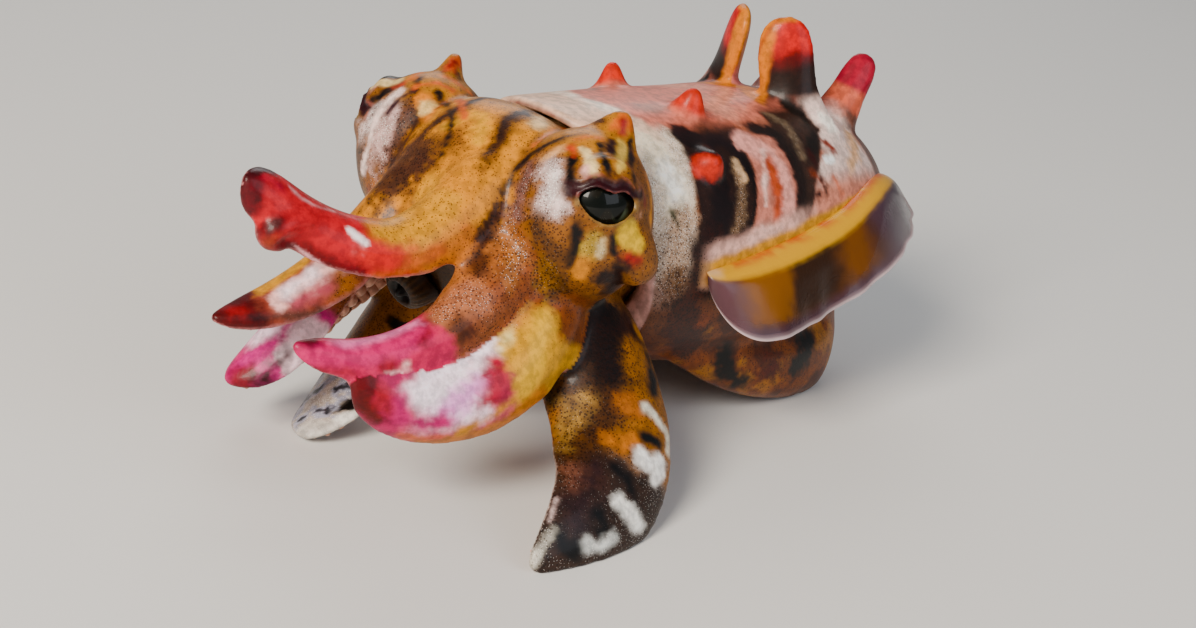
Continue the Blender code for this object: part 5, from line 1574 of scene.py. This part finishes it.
            # Painted highlights: paler pink on the crests of the lid folds
            crest_highlight = reach * ramp(fold, 0.3, 0.8) * ramp(canvas.fine, -0.1, 0.3)
            canvas.lay(crest_highlight, Wash("C07068", 0, 0.2, 0.7))
            canvas.lift += reach * fold * 0.14 * ramp(edge, 0.1, 0.4)
            canvas.lay(near * ramp(edge, 0.9, 0.5) * (1 - upper), Wash("B08A52", 0.2, 0.2, 0.85))
            canvas.lay(near * ramp(edge, 0.28, 0.12) * (1 - upper), Wash("E8D8B0", 0.0, 0.2, 0.9))

    def find_arms(self, canvas: Canvas) -> ArmPlaces:
        """Finds each point's place on the arm nearest to it.

        Args:
            canvas: The head's canvas.

        Returns:
            The places.
        """
        steps, wide = 150, 33
        t_grid, s_grid = (g.ravel() for g in np.meshgrid(np.linspace(0, 1, steps), np.linspace(-1, 1, wide)))
        spots, outs, marks = [], [], []
        for number, arm in enumerate(ARMS):
            for face in Side:
                places, ways = arm.patch(t_grid, s_grid, face)
                spots.append(places)
                outs.append(ways)
                marks.append(np.stack([np.full(len(t_grid), number), t_grid, s_grid,
                                       np.full(len(t_grid), face.value)], axis=1))
        spots, outs, marks = np.vstack(spots), np.vstack(outs), np.vstack(marks)
        tree = nearest_of(spots)
        found = [tree.find(point)[1:] for point in canvas.points]
        rows = [index for index, _ in found]
        away = np.array([distance for _, distance in found])
        number, t, s, face = marks[rows].T
        on_arm = ramp(away, 2.2, 1.0) * ramp(t + canvas.warp * 0.04, 0.14, 0.24)
        ways = outs[rows]
        proud = ((canvas.points - spots[rows]) * ways).sum(axis=1)
        return ArmPlaces(number, t, s, face, on_arm, ways, proud)

    def mark_arms(self, canvas: Canvas) -> None:
        """Lays the marks of the arms.

        Args:
            canvas: The head's canvas.
        """
        on = canvas.arms
        arm = on.number.astype(int)
        lengths = np.array([form.length() for form in ARMS])[arm]
        widths = np.array([np.mean(form.half_widths) for form in ARMS])[arm]
        t_mm = on.t * lengths + canvas.warp * 0.9 + canvas.fine * 0.4
        s_mm = on.s * widths + canvas.warp * 0.35 + canvas.fine * 0.2
        for mark in self.ARM_MARKS:
            mine = np.isin(on.number, [ROW_OF[name] for name in mark.arms])
            mine &= np.isin(on.face, [side.value for side in mark.faces])
            half = mark.soft / 2
            mask = ramp(t_mm - mark.along[0] * lengths, -half, half)
            mask *= ramp(mark.along[1] * lengths - t_mm, -half, half)
            mask *= ramp(s_mm - mark.across[0] * widths, -half, half)
            mask *= ramp(mark.across[1] * widths - s_mm, -half, half)
            canvas.lay(mask * mine * on.on_arm, mark.wash)
        self.walking_arms(canvas)
        edge = ramp(np.abs(on.s), 0.9, 0.98) * on.on_arm * ramp(on.t, 0.4, 0.5)
        edged = [ROW_OF[name] for name in ("arm2_left", "arm1_left", "arm1_right")]
        canvas.lay(edge * np.isin(on.number, edged), Wash("E9A0A0", 0.0, 0.1, 0.7))

    def press_cups(self, canvas: Canvas) -> None:
        """Levels the inner faces of the arms, where the finer cups are set.

        Args:
            canvas: The head's canvas.
        """
        on = canvas.arms
        share = ramp(on.t, 0.16, 0.22) * ramp(np.abs(on.s), 0.95, 0.8) * (on.face < 0) * (on.on_arm > 0.5)
        drop = np.clip(on.proud, 0, 2.5) * share
        set_corners(self.obj, corners(self.obj) - on.ways * drop[:, None] * MM)

    def walking_arms(self, canvas: Canvas) -> None:
        """Mottles the lowest arms: black blotches and white spots that alternate along their edges.

        Args:
            canvas: The head's canvas.
        """
        on = canvas.arms
        t, s = on.t, on.s
        left, right = (on.number == ROW_OF[name] for name in self.LOWEST)
        mine = (right | left & (on.face < 0)) * on.on_arm
        outer = mine * (on.face > 0)
        blot = cloud(canvas.points, 2.6, 3, 90.0) + canvas.fine * 0.25
        canvas.lay(outer * ramp(blot, 0.08, 0.22) * ramp(t, 0.52, 0.7), Wash("18120F", 0.0, 0.1, 0.92))
        canvas.lay(outer * ramp(blot, -0.12, -0.28) * ramp(t, 0.55, 0.75), Wash("CDBFAE", 0.2, 0.6, 0.8))
        beat = np.sin(t * 46.0 + canvas.warp * 1.2)
        rear = ramp(s, -0.35, -0.6) * mine * ramp(t, 0.30, 0.38)
        canvas.lay(rear * ramp(beat, 0.0, 0.5) * ramp(s, -0.97, -0.85), Wash("120C0A", 0.0, 0.0))
        white = ramp(s + np.clip(beat, -1, 1) * 0.12, -0.72, -0.86) * mine * ramp(t, 0.42, 0.52)
        canvas.lay(white, Wash("EDEBE2", 0.05, 0.5))
        canvas.lay(ramp(s, 0.86, 0.94) * mine * ramp(t, 0.35, 0.45), Wash("B9ADA4", 0.1, 0.4, 0.85))
        canvas.lay(mine * ramp(t + canvas.warp * 0.03, 0.93, 0.97), Wash("DAD4CB", 0.1, 0.4, 0.9))


class MouthSkin(Skin):
    """The round lips in the middle of the arms, with the dark beak between them."""

    TIP = np.array([0.0, -57.0, 19.9])
    AHEAD = (0.0, -0.894, -0.447)

    def paint(self) -> None:
        """Colours the lips brown, folds them finely with paler crests as painted highlights, and darkens the
        beak.
        """
        canvas = Canvas(self.obj)
        rel = canvas.points - self.TIP
        ahead = unit(self.AHEAD)
        deep = rel @ ahead
        away = np.linalg.norm(rel - deep[:, None] * ahead, axis=1)
        turn = np.arctan2(canvas.points[:, 0], rel @ np.cross((1, 0, 0), ahead))
        canvas.lay(np.ones(len(away)), Wash("52361A", 0.55, 0.1))
        folds = 0.5 + 0.5 * np.cos(turn * 22)
        # Painted highlights: the lip folds' crests are paler, and they are also raised
        canvas.lay(ramp(away, 1.5, 2.2) * ramp(deep, -2.2, -0.6) * folds, Wash("7E5C34", 0.2, 0.2, 0.8, 0.1))
        canvas.lay(ramp(away, 1.7, 1.3), Wash("1A0E08", 0.0, 0.0))
        canvas.keep()


@dataclass
class Suckers:
    """The cups on the inner faces of the arms: four staggered rows that shrink to the tips.

    Attributes:
        finish: Their material.
        rows: Where the rows lie, as shares across the blade.
        in_row: How many cups a row has.
        along: The shares of the arm's length between which they stand.
        radii: Their radius from the first to the last, in millimetres.
        sides: How many sides a cup has.
        seed: Starts the small differences in their size.
    """

    INK = "E9B7A0"
    RIM = "F6DDCB"
    # Colour inside the cup's hollow, darker as painted shade
    CUP_HOLLOW_SHADE = "8E4A34"

    finish: SkinFinish
    rows: tuple = (-0.66, -0.24, 0.24, 0.66)
    in_row: int = 19
    along: tuple = (0.19, 0.975)
    radii: tuple = (0.92, 0.88, 0.74, 0.54, 0.26)
    sides: int = 18
    seed: int = 21

    def __post_init__(self) -> None:
        """Starts the random draws."""
        self.rng = np.random.default_rng(self.seed)

    def cup(self) -> bpy.types.Object:
        """Models one cup of radius 1 on the floor plane: a stalk, a round lip and a hollow."""
        cup = added(bpy.ops.mesh.primitive_cylinder_add, vertices=self.sides, radius=0.7, depth=1.0,
                    end_fill_type="NGON", location=(0, 0, 0.1))
        bpy.ops.object.mode_set(mode="EDIT")
        bpy.ops.mesh.select_mode(type="FACE")
        bpy.ops.mesh.select_all(action="DESELECT")
        mesh = bmesh.from_edit_mesh(cup.data)
        top = max(mesh.faces, key=lambda f: f.calc_center_median().z)
        top.select_set(True)
        bmesh.update_edit_mesh(cup.data)
        for scale, lift in ((1.38, 0.22), (1.0, 0.12), (0.8, 0.0), (0.62, -0.34), (0.35, -0.1)):
            bpy.ops.mesh.extrude_region_move(TRANSFORM_OT_translate={"value": (0, 0, lift)})
            bpy.ops.transform.resize(value=(scale, scale, 1.0))
        bpy.ops.object.mode_set(mode="OBJECT")
        cup.data.transform(Matrix.Scale(1 / 0.97, 4))
        return cup

    def make(self, skin: bpy.types.Object) -> bpy.types.Object:
        """Sets a copy of the cup at every place and joins them.

        Args:
            skin: The skin that they stand on.

        Returns:
            The finished piece.
        """
        model = self.cup()
        heights = corners(model)[:, 2]
        spread = np.linalg.norm(corners(model)[:, :2], axis=1)
        base = pigment(self.INK)
        ink = base + (pigment(self.RIM) - base) * ramp(heights, 0.7, 0.92)[:, None]
        # Painted shade: the hollow of each cup is darkened
        ink += (pigment(self.CUP_HOLLOW_SHADE) - ink) * (ramp(spread, 0.62, 0.4) * (heights > 0.2))[:, None]
        store(model, "ink", ink)
        store(model, "dots", np.full(len(ink), 0.05))
        store(model, "gleam", np.full(len(ink), 0.1))
        surface = BVHTree.FromObject(skin, bpy.context.evaluated_depsgraph_get())
        made = []
        for arm in ARMS:
            for row, s in enumerate(self.rows):
                for i in range(self.in_row):
                    copy = self.place(model, arm, row, s, i, surface)
                    if copy is not None:
                        made.append(copy)
        bpy.data.objects.remove(model)
        select_only(made[0])
        for copy in made:
            copy.select_set(True)
        bpy.ops.object.join()
        obj = bpy.context.view_layer.objects.active
        bpy.ops.object.transform_apply(location=True, rotation=True, scale=True)
        obj.name = obj.data.name = "arm_suckers"
        bpy.ops.object.shade_smooth()
        obj.data.materials.append(self.finish.build())
        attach(obj, "root")
        log.info("%s: %d cups", obj.name, len(made))
        return obj

    def place(self, model: bpy.types.Object, arm: ArmForm, row: int, s: float, i: int,
              surface: BVHTree) -> bpy.types.Object | None:
        """Copies the cup to its place on an arm.

        Args:
            model: The cup.
            arm: The arm.
            row: The row's number.
            s: The row's share across the blade.
            i: The cup's number in its row.
            surface: The skin, for finding its height.

        Returns:
            The copy, or None where there is no room for it.
        """
        share = (i + 0.5 * (row % 2)) / (self.in_row - 0.5)
        t = self.along[0] + (self.along[1] - self.along[0]) * share
        width = float(np.interp(t, np.linspace(0, 1, len(arm.half_widths)), arm.half_widths))
        radius = float(np.interp(share, np.linspace(0, 1, len(self.radii)), self.radii)) * min(1, width / 4.2)
        radius *= self.rng.uniform(0.92, 1.08)
        spot, out = arm.patch(np.array([t]), np.array([s]), Side.INNER)
        spot, out = spot[0], out[0]
        start = PLACE.to_model(spot + out * 1.4)
        hit, normal, _, distance = surface.ray_cast(Vector(start), Vector(-out), 2.4 * MM)
        if hit is None or distance < 0.6 * MM:
            return None
        foot = PLACE.to_animal(np.array(hit))
        crown = foot + out * radius
        if crown[2] < radius * 0.8 + 0.1:
            return None
        ahead = surface.ray_cast(Vector(PLACE.to_model(foot + out * 0.3)), Vector(out), radius * 2.2 * MM)[0]
        if ahead is not None:
            return None
        copy = model.copy()
        copy.data = model.data.copy()
        bpy.context.scene.collection.objects.link(copy)
        turn = Vector((0, 0, 1)).rotation_difference(Vector(out)).to_matrix().to_4x4()
        copy.matrix_world = Matrix.Translation(PLACE.to_model(foot - out * 0.12)) @ turn \
            @ Matrix.Scale(radius * MM, 4)
        return copy


def eye_axes(side: int) -> tuple[np.ndarray, np.ndarray, np.ndarray]:
    """Returns an eye's look, its direction towards the tail and its upward direction."""
    look = unit(mirrored(EYE_LOOK, side))
    across = unit(np.cross((0, 0, 1), look)) * side
    return look, across, np.cross(look, across) * side


def opening(u: np.ndarray, v: np.ndarray) -> np.ndarray:
    """Measures places on the eye against the lids' opening.

    Args:
        u: Their distances along the eye's length, in millimetres.
        v: Their distances upwards.

    Returns:
        How far outside the opening they lie, below 0 inside it.
    """
    top = np.interp(u, LID_U, LID_TOP)
    bottom = np.interp(u, LID_U, LID_BOTTOM)
    return np.maximum(np.maximum(v - top, bottom - v), np.abs(u - 0.1) - 2.9)


@dataclass
class Eyeball:
    """One eye: a smooth ball whose pupil is a W-shaped slit.

    Attributes:
        label: The node's name.
        side: 1 on the left, -1 on the right.
        finish: Its material.
        slit_half_length: Half the pupil's length, as a share of the eye's radius.
        slit_half_width: Half its width.
    """

    label: str
    side: int
    finish: bpy.types.Material
    slit_half_length: float = 0.66
    slit_half_width: float = 0.24

    def make(self) -> bpy.types.Object:
        """Builds the ball and hands it to the frame."""
        ball = added(bpy.ops.mesh.primitive_uv_sphere_add, segments=128, ring_count=96,
                     radius=EYE_RADIUS * MM)
        ball.name = ball.data.name = self.label + "_ball"
        look, across, up = eye_axes(self.side)
        turn = Vector((0, 0, 1)).rotation_difference(Vector(look)).to_matrix().to_4x4()
        centre = PLACE.to_model(mirrored(EYE_CENTRE, self.side))
        ball.data.transform(Matrix.Translation(centre) @ turn)
        spots = (PLACE.to_animal(corners(ball)) - mirrored(EYE_CENTRE, self.side)) / EYE_RADIUS
        u, v, w = spots @ across, spots @ up, spots @ look
        fold = 0.15 * np.cos(np.clip(u / 0.56, -1, 1) * 2 * math.pi)
        half = self.slit_half_width * np.sqrt(np.clip(1 - (u / self.slit_half_length) ** 2, 0, 1))
        slit = np.abs(v + 0.02 - fold) - half
        slit = np.where((w > 0) & (np.abs(u) < self.slit_half_length), slit, 0.5)
        store(ball, "pupil", slit)
        ink = np.tile(linear("120F08"), (len(slit), 1))
        green = ramp(np.hypot(u - 0.38, (v + 0.28) * 1.2), 0.3, 0.06) * ramp(w, 0.2, 0.5)
        ink += (linear("4A5440") - ink) * green[:, None]
        store(ball, "ink", ink)
        bpy.ops.object.shade_smooth()
        ball.data.materials.append(self.finish)
        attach(ball, "root")
        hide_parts(self.label)
        log.info("%s made", ball.name)
        return ball


@dataclass
class Fin:
    """One fin: a thin membrane from the mantle's side, with a waved edge that hangs down.

    Attributes:
        side: 1 on the left, -1 on the right.
        finish: Its material.
        start: Where its root begins, as a share of the mantle's length.
        end: Where its root ends.
        root_degrees: Angles of its root above the mantle's side, from front to rear.
        breadths: Its breadth from front to rear, in millimetres.
        round_front: The share of its length over which its front end is rounded.
        round_rear: The same for its rear end.
        thickness: Its thickness, in millimetres.
        steps: How many rows of vertices lie along it.
        rows: How many lie from root to edge.
        crowding: Above 1, the rows stand closer at the front.
    """

    PANES = ((0.07, 0.22, "B0702E"), (0.215, 0.40, "5E3A22"), (0.42, 0.52, "A0622E"), (0.60, 0.68, "9A5A2A"),
             (0.78, 0.84, "9A5A2A"))

    side: int
    finish: bpy.types.Material
    start: float = 0.13
    end: float = 0.965
    root_degrees: tuple = (4, 9.5, 17, 29, 33)
    breadths: tuple = (9.2, 10.2, 10.0, 8.8, 7.0, 4.5)
    round_front: float = 0.13
    round_rear: float = 0.25
    thickness: float = 0.34
    steps: int = 180
    rows: int = 26
    crowding: float = 1.3

    @property
    def node(self) -> str:
        """Returns the name of the node that it stands for."""
        return "fin_left" if self.side > 0 else "fin_right"

    def place(self, u: float) -> np.ndarray:
        """Traces the membrane's middle from root to edge.

        Args:
            u: Share of the fin's length.

        Returns:
            The points, in animal millimetres.
        """
        fine = np.linspace(0, 1, 61)
        height = np.interp(u, fine, smooth_path(self.root_degrees, 61)[:, 0])
        root, out = mantle_point(self.start + (self.end - self.start) * u,
                                 height if self.side > 0 else 180 - height)
        front = max(0.0, 1 - u / self.round_front)
        rear = max(0.0, (u - 1 + self.round_rear) / self.round_rear)
        rounding = math.sqrt(max(0.0, 1 - front ** 2)) * math.sqrt(max(0.0, 1 - rear ** 2))
        breadth = np.interp(u, fine, smooth_path(self.breadths, 61)[:, 0]) * rounding * 0.95 + 0.8
        droop = math.radians(-76 + 40 * u ** 1.5 + 8 * math.sin(u * 13))
        level = unit([out[0], out[1], 0])
        hanging = level * math.cos(droop) + np.array([0, 0, math.sin(droop)])
        place = root - level * 0.4
        row = [place]
        ruffle = 0.14 * math.sin(u * 46) + 0.06 * math.sin(u * 83 + 1)
        for j in range(1, self.rows):
            share = min(1.0, j / (self.rows * 0.5))
            place = place + unit(level * (1 - share) + hanging * share) * (breadth + 0.9) / (self.rows - 1)
            row.append(place + level * ruffle * (j / (self.rows - 1)) ** 3)
        return np.array(row)

    def make(self) -> bpy.types.Object:
        """Builds the membrane and hands it to the frame."""
        obj = added(bpy.ops.mesh.primitive_grid_add, x_subdivisions=self.rows - 1,
                    y_subdivisions=self.steps - 1, size=1.0)
        obj.name = obj.data.name = self.node + "_membrane"
        flat = corners(obj)
        share = np.rint((flat[:, 0] + 0.5) * (self.rows - 1)).astype(int)
        along = np.rint((flat[:, 1] + 0.5) * (self.steps - 1)).astype(int)
        places = (np.arange(self.steps) / (self.steps - 1)) ** self.crowding
        rows = np.array([self.place(u) for u in places])
        set_corners(obj, PLACE.to_model(rows[along, share]))
        self.paint(obj, places[along], share / (self.rows - 1))
        apply_modifier(obj, "SOLIDIFY", thickness=self.thickness * MM, offset=0.0)
        bpy.ops.object.shade_smooth()
        obj.data.materials.append(self.finish)
        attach(obj, "root")
        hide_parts(self.node)
        log.info("%s made", obj.name)
        return obj

    def paint(self, obj: bpy.types.Object, u: np.ndarray, out: np.ndarray) -> None:
        """Colours the membrane: a bright root, brown and orange panes, a mauve border and a pale edge.

        Args:
            obj: The membrane.
            u: Each vertex's share of the fin's length.
            out: Each vertex's share of the breadth from the root.
        """
        points = PLACE.to_animal(corners(obj))
        rough = cloud(points, 3.0, 3, 7.0)
        fine = cloud(points, 0.9, 2, 17.0)
        ink = np.tile(pigment("7A4A2A"), (len(u), 1))

        def lay(mask: np.ndarray, code: str) -> None:
            """Covers the masked part with a pigment."""
            nonlocal ink
            ink = ink + (pigment(code) - ink) * np.clip(mask, 0, 1)[:, None]

        v = u + rough * 0.02
        for start, end, code in self.PANES:
            lay(ramp(v, start - 0.03, start + 0.03) * ramp(v, end + 0.03, end - 0.03)
                * ramp(out + fine * 0.04, 0.92, 0.74), code)
        lay(ramp(v, 0.50, 0.62), "6E5060")
        lay(ramp(out + fine * 0.03, 0.80, 0.93), "74505E")
        lay(ramp(v, 0.10, 0.03) * ramp(out, 0.12, 0.3), "8A6268")
        lay(ramp(out + rough * 0.015, 0.34, 0.26), "FCC018")
        lay(ramp(out + rough * 0.04, 0.20, 0.06) * ramp(rough, -0.5, 0.3), "EC780A")
        lay(ramp(v, 0.035, 0.0) * ramp(out, 0.4, 0.1), "F6CC9A")
        lay(ramp(out, 0.955, 0.975), "F6DCDC")
        store(obj, "ink", np.clip(ink, 0, 1))
        cover = 0.94 - 0.14 * ramp(out, 0.5, 0.9) - 0.28 * ramp(u, 0.48, 0.75) * ramp(out, 0.3, 0.5)
        cover = np.maximum(cover, ramp(out, 0.36, 0.28))
        store(obj, "cover", np.clip(np.maximum(cover, 0.9 * ramp(out, 0.95, 0.98)), 0, 1))


@dataclass
class Studio:
    """The plain floor, the soft lights and the camera at the photo's angle.

    Attributes:
        azimuth: The camera's angle from the animal's front towards its left, in degrees.
        elevation: Its angle above the floor.
        roll: How far it is rolled.
        lens: Its focal length on a sensor 36 mm wide.
        eye: Where it stands, in animal millimetres.
    """

    azimuth: float = 40.0
    elevation: float = 20.4
    roll: float = 7.8
    lens: float = 51.37
    eye: tuple = (127.19, -175.30, 84.51)

    def floor(self) -> None:
        """Lays a pale floor."""
        plane = added(bpy.ops.mesh.primitive_plane_add, size=6.0, location=(0, 0, 0))
        plane.name = "floor"
        plane.data.materials.append(PlainFinish("floor_matt", "E4E2DE", 0.8).build())

    def lamp(self, name: str, place: tuple, size: float, watts: float, colour: str) -> None:
        """Adds one square soft light that faces the animal.

        Args:
            name: Its name.
            place: Where it hangs, in metres.
            size: Its side, in metres.
            watts: Its power.
            colour: Its sRGB hex code.
        """
        lamp = added(bpy.ops.object.light_add, type="AREA", location=place)
        lamp.name = name
        lamp.data.size = size
        lamp.data.energy = watts
        lamp.data.color = linear(colour)
        lamp.rotation_euler = (-Vector(place) + Vector((0, 0, 0.02))).to_track_quat("-Z", "Y").to_euler()

    def light(self) -> None:
        """Sets the lights and the world's dim glow."""
        self.lamp("key", (0.12, -0.60, 0.42), 0.28, 8.8, "FFF4E6")
        self.lamp("fill", (0.65, 0.05, 0.35), 0.5, 2.1, "EEF3FF")
        self.lamp("back", (-0.45, 0.45, 0.45), 0.4, 1.6, "FFFFFF")
        world = bpy.data.worlds.new("studio")
        world.use_nodes = True
        world.node_tree.nodes["Background"].inputs["Color"].default_value = (0.8, 0.85, 0.9, 1)
        world.node_tree.nodes["Background"].inputs["Strength"].default_value = 0.23
        bpy.context.scene.world = world

    def camera(self) -> None:
        """Puts the camera at the photo's angle, rolled as the pose needs on a level floor."""
        a, e, r = (math.radians(v) for v in (self.azimuth, self.elevation, self.roll))
        back = Vector((math.sin(a) * math.cos(e), -math.cos(a) * math.cos(e), math.sin(e)))
        right = Vector((0, 0, 1)).cross(back).normalized()
        up = back.cross(right)
        rolled_right = right * math.cos(r) + up * math.sin(r)
        rolled_up = up * math.cos(r) - right * math.sin(r)
        data = bpy.data.cameras.new("camera")
        data.lens = self.lens
        data.sensor_width = 36.0
        data.clip_start = 0.01
        camera = bpy.data.objects.new("camera", data)
        bpy.context.scene.collection.objects.link(camera)
        turn = Matrix((rolled_right, rolled_up, back)).transposed().to_4x4()
        camera.matrix_world = Matrix.Translation(PLACE.to_model(self.eye)) @ turn
        bpy.context.scene.camera = camera


def main() -> None:
    """Builds the animal's looks and the studio."""
    logging.basicConfig(level=logging.INFO, format="%(name)s %(message)s")
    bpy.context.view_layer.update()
    flesh = SkinFinish("skin_wet")
    arms = [arm.name + part for arm in ARMS for part in ("_base", "_tip")]
    back = SkinFinish("mantle_wet", 0.42, 0.028)
    MantleSkin("mantle_skin", ["mantle", "belly_flap_left", "belly_flap_right"], back, "mantle_skin").make()
    head = HeadSkin("head_skin", ["head", "funnel"] + arms, flesh, "head_skin").make()
    MouthSkin("mouth_skin", ["mouth"], flesh, "mouth_skin", 0.2, 0.1).make()
    Suckers(SkinFinish("sucker_wet", 0.34, 0.02)).make(head)
    eye_finish = EyeFinish().build()
    membrane = MembraneFinish("fin_membrane").build()
    for side, label in ((1, "eye_left"), (-1, "eye_right")):
        Eyeball(label, side, eye_finish).make()
        Fin(side, membrane).make()
    studio = Studio()
    studio.floor()
    studio.light()
    studio.camera()


if __name__ == "__main__":
    main()
